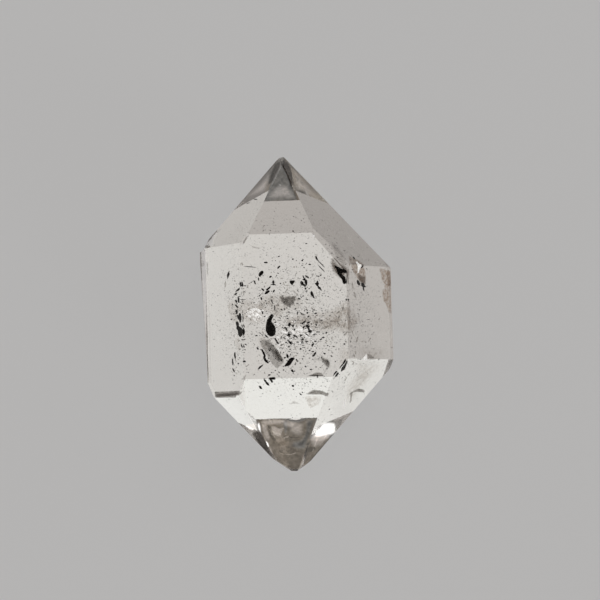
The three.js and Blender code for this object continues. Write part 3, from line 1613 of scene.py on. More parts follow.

# Dark films, and two of painted shade: the rod shade and the ledge shade.
DARK_SHEETS = (
    Sheet(  # smudge
        (144, -292, 175, -315, 207, -323, 223, -357, 217, -397, 189, -395, 162, -367, 147, -341), 0.5,
        fade=0.3),
    Sheet(  # side arc
        (353, -573, 380, -551, 415, -537, 457, -548, 452, -569, 411, -564, 379, -569, 369, -598, 366, -633,
         350, -638, 356, -598), 0.3, fade=0.04),
    Sheet(  # rod shade
        (-183, -279, -155, -263, -119, -318, -111, -340, -130, -349, -160, -330), 0.55, fade=0.12),
    Sheet(  # ledge shade
        (-598, -559, -516, -555, -412, -552, -415, -570, -440, -584, -456, -601, -523, -600, -596, -601),
        0.04, angular=True, fade=0.03),
    Sheet(  # lower arc
        (48, -579, 84, -550, 109, -546, 152, -551, 181, -562, 200, -579, 185, -596, 162, -586, 127, -583,
         84, -582), 0.35, fade=0.05),
    Sheet(  # hump line
        (55, -451, 91, -433, 119, -423, 154, -427, 169, -449, 116, -453), 0.5),
)

GREY_SHEETS = (
    Sheet(  # middle of the plate
        (-138, 110, -109, 104, -19, 112, -43, 62, -68, 32, -105, 46, -130, 81), 0.44, angular=True,
        fade=0.02),
    Sheet(  # smudge wing
        (88, -320, 130, -315, 165, -322, 162, -348, 95, -346), 0.52, fade=0.3),
    Sheet(  # little triangle
        (-411, -478, -374, -437, -380, -479), 0.5, angular=True, fade=0.03),
    Sheet(  # rod
        (-282, -204, -254, -191, -210, -195, -189, -219, -147, -271, -107, -338, -109, -357, -155, -406,
         -193, -369, -230, -310, -266, -251), 0.52, angular=True, fade=0.02),
    Sheet(  # rod core
        (-253, -202, -204, -212, -160, -258, -116, -328, -114, -350, -150, -355, -190, -310, -230, -250),
        0.53, fade=0.15),
    Sheet(  # plate
        (-145, 115, -116, 108, -11, 118, -37, 59, -65, 25, -107, 41, -136, 79), 0.45, angular=True,
        fade=0.02),
    Sheet(  # smudge
        (151, -299, 172, -324, 203, -333, 214, -360, 207, -386, 186, -385, 168, -360, 154, -338), 0.5),
    Sheet(  # smudge tail
        (189, -346, 213, -355, 210, -390, 189, -419, 171, -444, 158, -441, 176, -406, 193, -374), 0.5,
        fade=0.12),
    Sheet(  # corner triangle
        (474, -291, 506, -298, 534, -330, 474, -331), 0.5, angular=True, fade=0.03),
)

FAINT_SHEETS = (
    FaceFilm(  # dim streak on the right shoulder
        (221, 480, 249, 483, 284, 444, 315, 399, 341, 346, 310, 336, 273, 374, 239, 430), 0.03, fade=0.16),
    FaceFilm(  # top of the left ledge
        (-696, 455, -657, 456, -661, 406, -668, 322, -695, 322), 0.04, fade=0.05, face=LEFT_LEDGE,
        thickness=0.01),
    Sheet(  # tab
        (-334, 468, -279, 452, -283, 437, -338, 449), 0.2, angular=True, fade=0.03),
    Sheet(  # low triangle
        (-78, -649, -41, -621, 9, -647), 0.4, angular=True, fade=0.03),
    Sheet(  # small sliver over the hook
        (100, 383, 119, 410, 130, 396, 117, 368), 0.3),
)

BROWN_SHEETS = (
    Sheet(  # side cluster
        (371, 389, 397, 368, 429, 347, 452, 319, 466, 279, 468, 223, 450, 195, 415, 221, 384, 265, 362, 315),
        0.25),
    Sheet(  # overgrowth
        (561, 308, 610, 298, 640, 279, 644, 190, 602, 188, 574, 226, 568, 265), 0.12),
    Sheet(  # overgrowth edge
        (613, 289, 640, 279, 645, 184, 616, 191), 0.1),
    Sheet(  # overgrowth tail
        (593, 188, 643, 187, 647, -1, 626, -1, 603, 52, 586, 83, 578, 146, 593, 167), 0.12),
)

SMOKY_SHEETS = (
    Sheet(  # streak over the right mass
        (211, 374, 235, 378, 263, 353, 291, 330, 331, 308, 315, 302, 270, 326, 235, 353), 0.2, fade=0.14),
    Sheet(  # halo of the right mass
        (211, 350, 223, 381, 245, 372, 270, 346, 296, 327, 321, 312, 339, 287, 334, 251, 303, 223, 269, 237,
         238, 265, 217, 308), 0.3, fade=0.28),
    Sheet(  # its darker middle
        (221, 350, 242, 347, 277, 324, 308, 303, 320, 272, 291, 251, 254, 272, 227, 308), 0.29, fade=0.22),
    Sheet(  # halo of the side cluster
        (405, 275, 435, 260, 466, 250, 468, 195, 445, 185, 410, 220), 0.22, fade=0.15),
)

# Painted light: films along the left ledge and shoulder that dim what is seen through them and glow with a
# fixed tone.
PAINTED_LEDGE_LIGHTS = (
    FaceFilm(  # left ledge
        (-695, 460, -653, 462, -651, -430, -660, -430, -673, -180, -683, 80), 0.02, angular=True, fade=0.01,
        face=LEFT_LEDGE, thickness=0.01),
    FaceFilm(  # left shoulder
        (-661, 463, -607, 468, -603, 504, -565, 564, -548, 588, -598, 545, -634, 501, -657, 480), 0.02,
        fade=0.03, face=LEFT_SHOULDER),
)

# Films that darken the left ledge and the corner over it.
LEDGE_DARKENING = (
    FaceFilm(  # darker patch on the left ledge
        (-658, 350, -640, 346, -637, 258, -652, 261), 0.02, angular=True, fade=0.02, face=LEDGE_FOOT),
    FaceFilm(  # darker corner over it
        (-688, 441, -676, 465, -657, 487, -641, 487, -652, 466, -665, 452, -673, 406, -685, 395), 0.02,
        fade=0.04, face=LEDGE_FOOT),
)

# Painted glints: sheets of glowing white frost where light glints inside the crystal.
GLINT_SHEETS = (
    Sheet(  # spark
        (403, 353, 413, 350, 425, 331, 443, 320, 431, 310, 421, 294, 416, 274, 407, 272, 409, 296, 407, 329),
        0.2, angular=True, fade=0.03),
    Sheet(  # corner spark
        (443, -329, 473, -294, 475, -331), 0.45, angular=True, fade=0.03),
)

# Painted shade with painted light: films under the tips that dim what is seen through them and glow with a
# fixed cool grey.
COOL_PAINTED_SHADES = (
    FaceFilm(  # small face of the upper tip
        (-128, 1041, -109, 1006, -86, 957, -63, 904, -39, 848, -11, 784, -130, 779, -251, 774, -228, 831,
         -209, 887, -186, 929, -158, 978, -138, 1020), 0.02, angular=True, fade=0.03, face=SMALL_FACE),
    FaceFilm(  # grey corner of the lower tip
        (42, -753, 116, -747, 102, -795, 84, -851, 63, -914, 46, -963, -4, -974, -56, -949, -46, -907,
         4, -893, 32, -851, 39, -795), 0.013, fade=0.3, face=LOWER_TIP),
    FaceFilm(  # grey-green patch of the lower tip
        (-119, -763, -81, -760, -77, -802, -85, -851, -109, -858, -116, -816), 0.013, fade=0.2,
        face=LOWER_TIP),
)

# Painted shade with painted light: films under the lower tip that dim what is seen through them and glow
# with a fixed warm brown.
WARM_PAINTED_SHADES = (
    FaceFilm(  # lower tip
        (-305, -756, -207, -749, -116, -747, -81, -760, -53, -771, -11, -774, 25, -764, 49, -747, 120, -744,
         88, -844, 65, -914, 43, -978, 22, -1048, 4, -1101, -39, -1108, -88, -1094, -130, -1072, -175, -1029,
         -204, -971, -244, -907, -268, -851, -276, -795), 0.02, angular=True, fade=0.04, face=LOWER_TIP),
    FaceFilm(  # right of the lower tip
        (77, -888, 211, -883, 186, -921, 137, -978, 88, -1037, 46, -1086, 20, -1101, 34, -1034, 48, -971,
         62, -928), 0.02, fade=0.06, face=LOWER_RIGHT),
)

TIP_SHADOWS = (
    FaceFilm(  # corner of the lower tip
        (60, -767, 112, -756, 95, -809, 71, -872, 39, -925, 0, -949, -11, -921, 25, -886, 48, -823), 0.01,
        fade=0.15, face=LOWER_TIP),
    FaceFilm(  # brown streak
        (-225, -791, -204, -801, -189, -858, -162, -900, -179, -910, -203, -886, -223, -837), 0.01,
        fade=0.06, face=LOWER_TIP),
    FaceFilm(  # dark bar
        (-77, -875, -39, -879, -1, -879, -1, -889, -39, -889, -75, -885), 0.009, fade=0.03, face=LOWER_TIP),
    FaceFilm(  # top edge of the lower tip
        (-224, -748, -116, -746, -95, -756, -116, -757, -217, -758), 0.009, fade=0.03, face=LOWER_TIP),
    FaceFilm(  # purple spot
        (43, -961, 67, -948, 105, -947, 112, -966, 81, -986, 46, -989), 0.01, fade=0.05, face=LOWER_RIGHT),
    FaceFilm(  # under the purple spot
        (37, -985, 60, -982, 54, -1020, 30, -1062, 27, -1027), 0.01, fade=0.05, face=LOWER_RIGHT),
    FaceFilm(  # lower right edge
        (179, -924, 189, -926, 141, -982, 92, -1039, 51, -1086, 43, -1079, 81, -1031, 130, -973), 0.01,
        fade=0.03, face=LOWER_RIGHT),
    FaceFilm(  # grey sliver
        (248, -767, 294, -747, 312, -737, 305, -760, 283, -808, 252, -840, 242, -823), 0.03, fade=0.05,
        face=LOWER_CORNER),
    FaceFilm(  # right edge of the small face
        (-77, 933, -60, 904, -35, 852, -9, 789, -27, 789, -48, 841, -71, 890), 0.01, fade=0.04,
        face=SMALL_FACE),
    FaceFilm(  # base of the small face
        (-246, 779, -130, 784, -13, 788, -11, 784, -130, 779, -251, 774), 0.01, angular=True, fade=0.03,
        face=SMALL_FACE),
    FaceFilm(  # left edge of the small face
        (-207, 895, -197, 888, -216, 837, -235, 785, -245, 785, -227, 834), 0.01, fade=0.03,
        face=SMALL_FACE),
    FaceFilm(  # brown side of the upper tip
        (-158, 1048, -169, 1010, -189, 954, -211, 895, -231, 883, -224, 954, -200, 999), 0.03, fade=0.1,
        face=UPPER_LEFT),
    FaceFilm(  # brown streaks right of it
        (-32, 968, -4, 947, 39, 897, 32, 876, -4, 897, -25, 926), 0.03, fade=0.12, face=UPPER_RIGHT),
)

# Painted shade: nearly black films where the upper tip shows dark wedges and a dark line along its left
# side.
TIP_DARK_SHADES = (
    FaceFilm(  # left wedge of the upper tip
        (-131, 1062, -133, 1038, -140, 1010, -154, 979, -179, 933, -202, 897, -220, 902, -209, 947,
         -196, 982, -185, 1013, -165, 1045), 0.07, fade=0.03, face=UPPER_LEFT),
    FaceFilm(  # right wedge of the upper tip
        (-121, 1065, -99, 1062, -78, 1038, -60, 1006, -50, 968, -43, 921, -37, 874, -54, 875, -74, 920,
         -98, 975, -114, 1014, -124, 1042), 0.07, fade=0.03, face=UPPER_RIGHT),
    FaceFilm(  # left silhouette
        (-133, 1074, -165, 1055, -197, 1020, -235, 978, -229, 971, -191, 1011, -159, 1046, -130, 1065), 0.05,
        fade=0.015, face=UPPER_LEFT),
)

# Painted highlights: white films under the lower tip that glow where lamps show through it as bright
# patches.
TIP_HIGHLIGHTS = (
    FaceFilm(  # bright patch of the lower tip
        (100, -875, 117, -840, 137, -808, 158, -781, 193, -771, 228, -772, 256, -784, 261, -816, 251, -851,
         225, -869, 179, -872, 137, -883), 0.05, fade=0.22, face=LOWER_RIGHT, rear=0.0),
    FaceFilm(  # left bright patch
        (-298, -792, -284, -777, -272, -806, -271, -847, -282, -847, -291, -823), 0.03, fade=0.1,
        face=LOWER_LEFT, rear=0.0),
    FaceFilm(  # lower left bright patch
        (-238, -906, -228, -912, -217, -928, -213, -949, -220, -952, -228, -940, -234, -926), 0.03,
        fade=0.05, face=LOWER_LEFT, rear=0.0),
    FaceFilm(  # along the left edge
        (-397, -791, -369, -799, -341, -810, -312, -829, -336, -831, -366, -816), 0.03, fade=0.09,
        face=LOWER_LEFT, rear=0.0),
    FaceFilm(  # soft lower side of the bright patch
        (70, -900, 91, -844, 102, -809, 228, -809, 221, -858, 203, -900), 0.045, fade=0.9, face=LOWER_RIGHT,
        rear=0.0),
)

# Painted light: faintly tinted films that glow a little, lightening parts of the tips and the streaks under
# the painted highlight.
PAINTED_PALE_LIGHTS = (
    FaceFilm(  # pale top of the lower tip
        (-123, -754, -32, -763, -18, -785, -53, -819, -102, -816, -126, -781), 0.0065, fade=0.3,
        face=LOWER_TIP),
    FaceFilm(  # loop
        (-199, -803, -172, -802, -141, -817, -110, -813, -116, -833, -130, -867, -154, -875, -179, -858,
         -196, -830), 0.006, fade=0.06, face=LOWER_TIP),
    FaceFilm(  # pinkish patch
        (-79, -788, -64, -764, -11, -764, 32, -774, 34, -830, 22, -872, -25, -875, -64, -855, -78, -830),
        0.006, fade=0.45, face=LOWER_TIP),
    FaceFilm(  # left side of the lower tip
        (-268, -792, -235, -788, -221, -830, -204, -886, -224, -907, -254, -858), 0.006, fade=0.12,
        face=LOWER_TIP),
    FaceFilm(  # under the bright patch
        (78, -861, 144, -858, 228, -858, 196, -904, 151, -945, 102, -956, 71, -921), 0.006, fade=0.35,
        face=LOWER_RIGHT),
    FaceFilm(  # dome on the small face
        (-228, 789, -207, 848, -179, 881, -144, 895, -88, 893, -60, 869, -39, 834, -18, 789, -130, 788),
        0.006, fade=0.45, face=SMALL_FACE),
    FaceFilm(  # beside the left bright patch
        (-376, -792, -341, -785, -305, -781, -296, -827, -320, -829, -345, -837, -364, -819), 0.006,
        fade=0.1, face=LOWER_LEFT),
    FaceFilm(  # left side of the upper tip
        (-263, 928, -218, 979, -200, 956, -216, 886, -256, 838, -348, 803, -383, 799, -334, 851), 0.01,
        fade=0.35, face=UPPER_LEFT),
    FaceFilm(  # right side of the upper tip
        (-60, 1031, -13, 989, 39, 933, 95, 869, 165, 771, 130, 778, 67, 810, 25, 830, -18, 848, -36, 883,
         -46, 940), 0.01, fade=0.6, face=UPPER_RIGHT),
    FaceFilm(  # top of the lower tip
        (-263, -760, -109, -753, -113, -781, -165, -795, -249, -795), 0.007, fade=0.15, face=LOWER_TIP),
    FaceFilm(  # just under the bright patch
        (78, -861, 144, -858, 224, -858, 200, -897, 144, -912, 77, -907), 0.0065, fade=0.15,
        face=LOWER_RIGHT),
    FaceFilm(  # streak under the bright patch
        (120, -865, 140, -865, 113, -942, 91, -992, 84, -989, 102, -935), 0.0058, fade=0.08,
        face=LOWER_RIGHT),
    FaceFilm(  # second streak under it
        (179, -865, 196, -865, 162, -921, 133, -963, 126, -959, 151, -914), 0.0058, fade=0.08,
        face=LOWER_RIGHT),
    FaceFilm(  # beside the lower left patch
        (-263, -837, -242, -872, -217, -914, -193, -963, -179, -1006, -203, -985, -225, -942, -249, -893),
        0.0065, fade=0.12, face=LOWER_TIP),
)

# Painted shade: dark films where the lower tip's left wedge and a short bevel on the left show dark.
TIP_SHADES = (
    FaceFilm(  # dark edge of the left wedge
        (-312, -883, -291, -886, -263, -921, -235, -963, -204, -1001, -186, -1027, -214, -1003, -277, -937),
        0.05, fade=0.05, face=LOWER_LEFT),
    FaceFilm(  # left wedge of the lower tip
        (-341, -858, -327, -841, -294, -837, -273, -861, -252, -899, -228, -949, -207, -993, -187, -1025,
         -211, -1003, -279, -931, -317, -886), 0.06, angular=True, fade=0.06, face=LOWER_LEFT),
    FaceFilm(  # short bevel on the left
        (-401, 472, -393, 500, -371, 528, -356, 535, -370, 506, -391, 475), 0.01, fade=0.02,
        face=LEFT_BEVEL),
)

# White, minutely cracked bits that glow with painted light, given the same way as the flecks.
FROST_BITS = (
    (-334, 14, 29, 6, 15), (-303, 17, 28, -14, 17), (-357, -27, 9, -7, 17), (-322, -48, 17, -17, 11),
    (-298, -12, 14, -14, 11), (-348, 2, 18, -7, 9), (-312, -22, 7, -15, 8), (-276, -27, 8, -12, 8),
    (-364, -4, 5, -4, 8), (1, -111, 14, -21, 24), (18, -118, 4, -10, 11), (44, -128, 10, -1, 13),
    (46, -166, 24, -18, 11), (89, -149, 11, -3, 13), (-54, -135, 15, -14, 18), (-20, -157, 5, -5, 9),
    (-119, -139, 20, -8, 17), (-92, -177, 8, -1, 10), (-114, -212, 4, -1, 8), (-147, -233, 6, -2, 8),
    (-150, -261, 5, -2, 10), (-169, -83, 25, -7, 15), (-277, -403, 1, 0, 11), (322, -615, -7, -56, 8),
    (29, -153, 5, -7, 8), (77, -117, 7, -7, 9), (-70, -126, 8, -6, 8), (-32, -103, 7, -2, 8),
    (-105, -885, 24, 9, 11), (-99, -860, 4, 2, 8), (-221, -751, 28, -27, 8), (-269, -775, 20, -34, 8),
    (-53, -751, 54, 1, 15), (95, 532, 1, -1, 10), (-138, 892, 4, -3, 11), (-138, -992, 29, -9, 5),
    (-105, -1002, 38, 0, 5), (-62, -1001, 37, 11, 5),
)

NEEDLES = (
    (126, 364, 49, -51, 6), (130, 329, 46, -48, 6), (-390, 320, 85, -8, 5), (67, -448, 97, -1, 6),
    (-371, 760, 21, 7, 6), (-411, 87, 35, -1, 4),
)

HAZES_AND_SHADE = (
    Haze(  # upper part of the right tip face
        (320, -521, 397, -437, 509, -416, 474, -521, 383, -626, 320, -640), 0.3, fade=0.5),
    Haze(  # over the centre drop
        (-298, 69, -221, 129, -109, 132, -11, 111, 32, 55, -11, 6, -95, -1, -137, -51, -193, -37, -235, -8,
         -291, -29), 0.3, fade=0.3),
    Haze(  # right of the middle
        (-109, -44, 4, -5, 158, 13, 235, 27, 270, -15, 270, -114, 179, -156, 4, -128, -88, -107), 0.4,
        fade=0.35),
    Haze(  # streak in it
        (-109, -65, 25, -29, 186, -51, 270, -29, 284, -72, 179, -103, 4, -93), 0.45, fade=0.2),
    Haze(  # at the edge
        (186, -15, 270, 55, 327, 90, 350, 76, 350, -170, 298, -156, 228, -135, 158, -114), 0.06, fade=0.25),
    Haze(  # over the edge
        (242, -29, 284, 20, 334, 55, 352, 27, 352, -114, 298, -121, 242, -93), 0.05, fade=0.25),
    Haze(  # left of the veil
        (-460, 69, -376, 97, -305, 83, -242, 41, -242, -15, -277, -86, -362, -86, -432, -29), 0.35,
        fade=0.4),
    Haze(  # left of the rod
        (-305, -198, -263, -156, -207, -212, -207, -268, -256, -282), 0.45, fade=0.3),
    Sheet(  # bow
        (217, -60, 262, -72, 296, -104, 289, -111, 256, -83, 217, -69), 0.25, fade=0.04, once=False),
    FaceFilm(  # arc shade
        (39, -594, 130, -590, 158, -598, 141, -647, 116, -662, 74, -678, 48, -633), 0.05, fade=0.1),
    # painted shade: darkens the right tip face towards its upper right
    Haze(  # lower right
        (383, -338, 467, -324, 593, -353, 565, -437, 467, -507, 383, -507, 369, -409), 0.4, fade=0.8),
)

CLOUDS = (
    Cloud((0.3, -1.3), (0.9, 0.75), 0, 230, largest=0.12),
    Cloud((-0.8, -1.7), (0.9, 0.9), 20, 170, largest=0.11),
    Cloud((-2.2, 0.3), (0.55, 0.7), 40, 70, largest=0.09),
    Cloud((-1.2, 1.4), (1.3, 0.9), 0, 90, largest=0.09),
    Cloud((0.9, 1.6), (1.2, 0.9), 0, 90, largest=0.1),
    Cloud((-4.5, 0.6), (0.35, 1.2), 0, 60, largest=0.08),
    Cloud((-4.2, -3.0), (0.4, 1.2), 0, 45, largest=0.09),
    Cloud((-1.0, -3.6), (1.8, 1.0), -20, 90, largest=0.1),
    Cloud((2.4, -1.8), (1.2, 1.3), 30, 90, largest=0.07),
    Cloud((3.9, -1.8), (0.8, 1.3), 0, 50, largest=0.06),
    Cloud((0.0, 0.2), (3.0, 2.6), 0, 260, largest=0.06),
)

# Grains of white frost that glow with painted light.
FROST_CLOUDS = (
    Cloud((-0.15, -1.45), (0.7, 0.55), -20, 60, smallest=0.035, largest=0.13, levels=(0.2, 0.3)),
    Cloud((-1.0, -2.2), (0.6, 0.6), 0, 24, smallest=0.03, largest=0.09, levels=(0.2, 0.3)),
    Cloud((-3.15, -0.1), (0.25, 0.25), 0, 30, smallest=0.04, largest=0.14, levels=(0.2, 0.3)),
)

DUST = (
    Cloud((0.0, 0.0), (3.6, 3.2), 0, 1900, smallest=0.018, largest=0.05, levels=(0.1, 0.9), once=False),
    Cloud((0.0, -0.6), (2.2, 2.0), 0, 1300, smallest=0.02, largest=0.055, levels=(0.1, 0.9), once=False),
    Cloud((0.0, 1.5), (3.2, 3.6), 0, 1500, smallest=0.012, largest=0.03, levels=(0.1, 0.9), once=False),
)

GROOVES = (Groove((-3.9, 4.0), (-3.05, 4.34), 0.09, 0.006),)

# dark films, and painted shade where it draws shades
DARK_FILM_AND_SHADE = FilmFinish("dark film and painted shade", (0.16, 0.15, 0.14), (0.34, 0.32, 0.3))
GREY_FILM = FilmFinish("grey film", (0.44, 0.43, 0.42), (0.56, 0.55, 0.54))
FAINT_FILM = FilmFinish("faint film", (0.62, 0.61, 0.6), (0.78, 0.77, 0.76))
BROWN_FILM = FilmFinish("brown film", (0.42, 0.34, 0.28), (0.72, 0.62, 0.54), patchiness=0.6)
PALE_FILM = FilmFinish("pale film", (0.38, 0.37, 0.35), (0.6, 0.58, 0.55), patchiness=0.6)
# painted shade that also glows with painted light
COOL_PAINTED_SHADE = FilmFinish(
    "cool painted shade", (0.115, 0.114, 0.11), (0.175, 0.172, 0.166), scale=1.6, patchiness=0.1, glow=0.6
)
# painted shade that also glows with painted light
WARM_PAINTED_SHADE = FilmFinish(
    "warm painted shade", (0.128, 0.112, 0.093), (0.205, 0.182, 0.154), scale=1.6, patchiness=0.1, glow=0.6
)
SMOKY_FILM = FilmFinish("smoky film", (0.16, 0.135, 0.12), (0.42, 0.38, 0.35), scale=9.0)
# painted light: dims what is behind it and glows with a fixed tone
LEDGE_LIGHT_FINISH = FilmFinish("painted ledge light", (0.165, 0.16, 0.157), (0.185, 0.18, 0.177), patchiness=0.1, glow=2.0)
SHADOW_FILM = FilmFinish("shadow film", (0.46, 0.47, 0.47), (0.66, 0.66, 0.66), patchiness=0.3)
# painted shade, nearly black
BLACK_PAINTED_SHADE = FilmFinish("black painted shade", (0.04, 0.03, 0.028), (0.14, 0.11, 0.1), patchiness=0.15)
# painted highlight, glowing white from the front only
HIGHLIGHT_FINISH = FilmFinish(
    "painted highlight", (1.0, 1.0, 1.0), (1.0, 0.995, 0.98), patchiness=0.1, glow=1.3, one_sided=True
)
# painted light: a faint tint that glows a little
PALE_LIGHT_FINISH = FilmFinish("painted pale light", (0.93, 0.9, 0.88), (0.97, 0.91, 0.87), patchiness=0.3, glow=0.12)
HAZE_AND_SHADE_FILM = FilmFinish("brown haze and painted shade", (0.68, 0.65, 0.625), (0.9, 0.885, 0.87), scale=3.0, patchiness=0.55)

INCLUSIONS_AND_PAINTED_FILMS = (
    Inclusion("carbon_drops", CarbonFinish(), CARBON_DROPS, seed=1),
    Inclusion("carbon_flecks", CarbonFinish("carbon flecks"), flecks(DARK_FLECKS, 2, (0.25, 0.6), rings=3)),
    Inclusion("carbon_grains", CarbonFinish("carbon grains"), clouds=CLOUDS, seed=3),
    Inclusion("dust", CarbonFinish("fine dust"), clouds=DUST, seed=4),
    Inclusion("needles", CarbonFinish("needles"), flecks(NEEDLES, 5, (0.2, 0.4), rings=3, crumpling=0.2)),
    Inclusion("pale_flecks", PALE_FILM, flecks(PALE_FLECKS, 6, (0.25, 0.6))),
    Inclusion("dark_sheets", DARK_FILM_AND_SHADE, DARK_SHEETS, seed=7),
    Inclusion("grey_sheets", GREY_FILM, GREY_SHEETS, seed=8),
    Inclusion("faint_sheets", FAINT_FILM, FAINT_SHEETS, seed=9),
    Inclusion("brown_sheets", BROWN_FILM, BROWN_SHEETS, seed=10),
    Inclusion("smoky_sheets", SMOKY_FILM, SMOKY_SHEETS, seed=20),
    Inclusion("painted_ledge_lights", LEDGE_LIGHT_FINISH, PAINTED_LEDGE_LIGHTS, seed=21),
    Inclusion("ledge_darkening", SHADOW_FILM, LEDGE_DARKENING, seed=22),
    Inclusion("hazes_and_shade", HAZE_AND_SHADE_FILM, HAZES_AND_SHADE, seed=11),
    Inclusion("cool_painted_shades", COOL_PAINTED_SHADE, COOL_PAINTED_SHADES, seed=12),
    Inclusion("warm_painted_shades", WARM_PAINTED_SHADE, WARM_PAINTED_SHADES, seed=19),
    Inclusion("tip_shadows", SHADOW_FILM, TIP_SHADOWS, seed=13),
    Inclusion("tip_shades", DARK_FILM_AND_SHADE, TIP_SHADES, seed=24),
    Inclusion("tip_dark_shades", BLACK_PAINTED_SHADE, TIP_DARK_SHADES, seed=14),
    Inclusion("tip_highlights", HIGHLIGHT_FINISH, TIP_HIGHLIGHTS, seed=15),
    Inclusion("painted_pale_lights", PALE_LIGHT_FINISH, PAINTED_PALE_LIGHTS, seed=16),
    Inclusion("frost", FrostGlowFinish(), GLINT_SHEETS, seed=17),
    Inclusion("frost_grains", FrostGlowFinish("frost grains with painted glow"), clouds=FROST_CLOUDS, seed=23),
    Inclusion("frost_bits", FrostGlowFinish("frost bits with painted glow"), flecks(FROST_BITS, 18, (0.2, 0.4), crumpling=0.8)),
)


# ---- Studio ----


@dataclass(frozen=True)
class SoftLight:
    """A soft round light far away, given by where it stands and how wide it is, in degrees."""

    azimuth: float
    elevation: float
    inner: float
    outer: float
    strength: float

    def toward(self) -> Vector:
        """The direction from the crystal to the light."""
        turn, rise = math.radians(self.azimuth), math.radians(self.elevation)
        return Vector((math.sin(turn) * math.cos(rise), math.cos(turn) * math.cos(rise), math.sin(rise)))


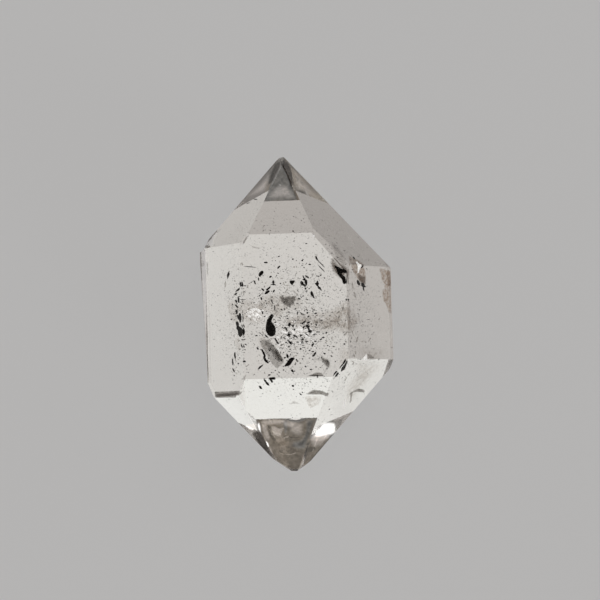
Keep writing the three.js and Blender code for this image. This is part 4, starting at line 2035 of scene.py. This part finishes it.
@dataclass
class Studio:
    """A pale table lit softly from under and around, and the camera that looks down on it.

    The light from below grows as its direction leans across and along. A band is the two heights,
    from -1 straight down to 1 straight up, between which one brightness gives way to the next.
    """

    view: View = field(default_factory=View)
    tone: float = 0.462
    floor_matt: float = 0.32
    floor_glow: float = 0.37
    below: float = 0.655
    below_across: float = 0.149
    below_along: float = 0.525
    below_across_curve: float = -0.08
    below_along_curve: float = 0.19
    below_twist: float = -0.124
    below_swing: float = -0.414
    mirror_share: float = 0.35
    overhead: float = 0.2
    overhead_band: Point = (0.25, 0.95)
    side: float = 0.22
    side_band: Point = (0.05, 0.3)
    horizon: float = 0.14
    horizon_band: Point = (-0.2, -0.02)
    lights: tuple[SoftLight, ...] = (
        SoftLight(125, 17, 8, 17, 1.7),
        SoftLight(70, 25, 6, 16, 0.65),
        SoftLight(50, -8, 5, 18, 0.9),
        SoftLight(38, 50, 6, 18, 0.7),
        SoftLight(8, 40, 6, 18, 0.2),
        SoftLight(-90, -4, 6, 26, 0.22),
    )
    green_share: float = 0.88
    green_rise: float = 0.13
    blue_share: float = 0.815
    blue_rise: float = 0.155
    floor_half: float = 1500.0
    floor_drop: float = 0.02
    sensor_width: float = 36.0
    near_limit: float = 0.005
    far_limit: float = 10.0

    def give_way(
        self, bench: NodeBench, rise: Socket, band: Point, lower: object, upper: object
    ) -> Socket:
        """The brightness where a lower one gives way to an upper one within a band of heights."""
        share = bench.smooth(rise, *band)
        return bench.add("ShaderNodeMix", _0=share, _2=lower, _3=upper).outputs[0]

    def make_levels(self, bench: NodeBench, way: Socket) -> Socket:
        """How bright the surroundings are in each direction.

        Args:
            bench: the world's bench.
            way: the direction.

        Returns:
            The brightness.
        """
        axes = bench.add("ShaderNodeSeparateXYZ", _0=way).outputs
        across, along, rise = axes["X"], axes["Y"], axes["Z"]
        across_squared = bench.math("POWER", across, 2.0)
        leans = (
            (across, self.below_across),
            (along, self.below_along),
            (across_squared, self.below_across_curve),
            (bench.math("POWER", along, 2.0), self.below_along_curve),
            (bench.times(across, along), self.below_twist),
            (bench.times(across_squared, along), self.below_swing),
        )
        below = bench.total(self.below, *(bench.times(lean, share) for lean, share in leans))
        above = self.give_way(bench, rise, self.overhead_band, self.side, self.overhead)
        dim = self.give_way(bench, rise, self.side_band, self.horizon, above)
        result = self.give_way(bench, rise, self.horizon_band, below, dim)
        for light in self.lights:
            dot = bench.add("ShaderNodeVectorMath", {"operation": "DOT_PRODUCT"}, _0=way, _1=light.toward())
            outer, inner = math.cos(math.radians(light.outer)), math.cos(math.radians(light.inner))
            edge = bench.smooth(dot.outputs["Value"], outer, inner)
            result = bench.total(result, bench.times(edge, light.strength))
        return result

    def make_world(self) -> None:
        """Makes the light from all round: a bright, slanting glow under the table, dim above.

        Light that is mirrored off the outside is weakened, as a polarising filter on the lens does.
        """
        world = bpy.data.worlds.new("studio")
        bpy.context.scene.world = world
        world.use_nodes = True
        bench = NodeBench(world.node_tree)
        world.node_tree.nodes.clear()
        path = bench.add("ShaderNodeLightPath").outputs
        mirrored = bench.times(path["Is Reflection Ray"], path["Is Glossy Ray"])
        filtered = bench.math("MULTIPLY_ADD", mirrored, self.mirror_share - 1, 1.0)
        levels = self.make_levels(bench, bench.add("ShaderNodeTexCoord").outputs["Generated"])
        level = bench.times(levels, filtered)
        color = [level]
        for share, rise in ((self.green_share, self.green_rise), (self.blue_share, self.blue_rise)):
            tint = bench.math("MINIMUM", bench.math("MULTIPLY_ADD", levels, rise, share), 1.0)
            color.append(bench.times(level, tint))
        light_color = bench.add("ShaderNodeCombineColor", _0=color[0], _1=color[1], _2=color[2])
        glow = bench.add("ShaderNodeBackground", Color=light_color.outputs[0])
        wall = bench.add("ShaderNodeBackground", Color=solid((self.tone,) * 3))
        seen = path["Is Camera Ray"]
        mixed = bench.add("ShaderNodeMixShader", _0=seen, _1=glow.outputs[0], _2=wall.outputs[0])
        bench.add("ShaderNodeOutputWorld", Surface=mixed.outputs[0])

    def make_floor(self) -> None:
        """Makes the pale table top, which lets the light from under it through to the crystal."""
        mesh = bpy.data.meshes.new("floor")
        half, level = self.floor_half * MM, -self.floor_drop * MM
        corners = [(-half, -half, level), (half, -half, level), (half, half, level), (-half, half, level)]
        mesh.from_pydata(corners, [], [(0, 1, 2, 3)])
        floor = bpy.data.objects.new("floor", mesh)
        bpy.context.scene.collection.objects.link(floor)
        material, bench = new_material("table top")
        matt = bench.add("ShaderNodeBsdfDiffuse", Color=solid((self.floor_matt,) * 3))
        lit = bench.add("ShaderNodeEmission", Color=solid((1.0, 1.0, 1.0)), Strength=self.floor_glow)
        both = bench.add("ShaderNodeAddShader", _0=matt.outputs[0], _1=lit.outputs[0])
        clear = bench.add("ShaderNodeBsdfTransparent")
        seen = bench.add("ShaderNodeLightPath").outputs["Is Camera Ray"]
        mixed = bench.add("ShaderNodeMixShader", _0=seen, _1=clear.outputs[0], _2=both.outputs[0])
        bench.add("ShaderNodeOutputMaterial", Surface=mixed.outputs[0])
        mesh.materials.append(material)

    def make_camera(self) -> None:
        """Makes the camera, high over the crystal and turned a few degrees off its axes."""
        view = self.view
        right, up, _ = view.axes()
        place = CENTRE + view.eye()
        target = CENTRE + right * view.aim_right + up * view.aim_up
        out = (place - target).normalized()
        level = (right - out * right.dot(out)).normalized()
        turn = Matrix((level, out.cross(level), out)).transposed()
        data = bpy.data.cameras.new("camera")
        data.sensor_width = self.sensor_width
        data.lens = data.sensor_width * view.distance / view.width
        data.clip_start, data.clip_end = self.near_limit, self.far_limit
        camera = bpy.data.objects.new("camera", data)
        camera.matrix_world = Matrix.Translation(place * MM) @ turn.to_4x4()
        bpy.context.scene.collection.objects.link(camera)
        bpy.context.scene.camera = camera

    def build(self) -> None:
        """Makes the light, the table and the camera."""
        scene = bpy.context.scene
        scene.view_settings.view_transform = "Standard"
        scene.cycles.max_bounces = LIGHT_BOUNCES
        scene.cycles.transmission_bounces = LIGHT_BOUNCES
        scene.cycles.glossy_bounces = LIGHT_BOUNCES
        self.make_world()
        self.make_floor()
        self.make_camera()


# ---- The whole ----


def main() -> None:
    """Makes the studio, the quartz and what is sealed in it, and logs how many faces each piece has."""
    logging.basicConfig(level=logging.INFO, format="%(name)s: %(message)s")
    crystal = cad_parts["crystal"]
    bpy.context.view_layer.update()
    studio = Studio()
    studio.build()
    sight = SightLines(crystal, studio.view)
    effects = EffectShelf()
    QuartzBody(grooves=GROOVES).build(crystal, sight, effects)
    for inclusion in INCLUSIONS_AND_PAINTED_FILMS:
        inclusion.build(sight, effects)


if __name__ == "__main__":
    main()
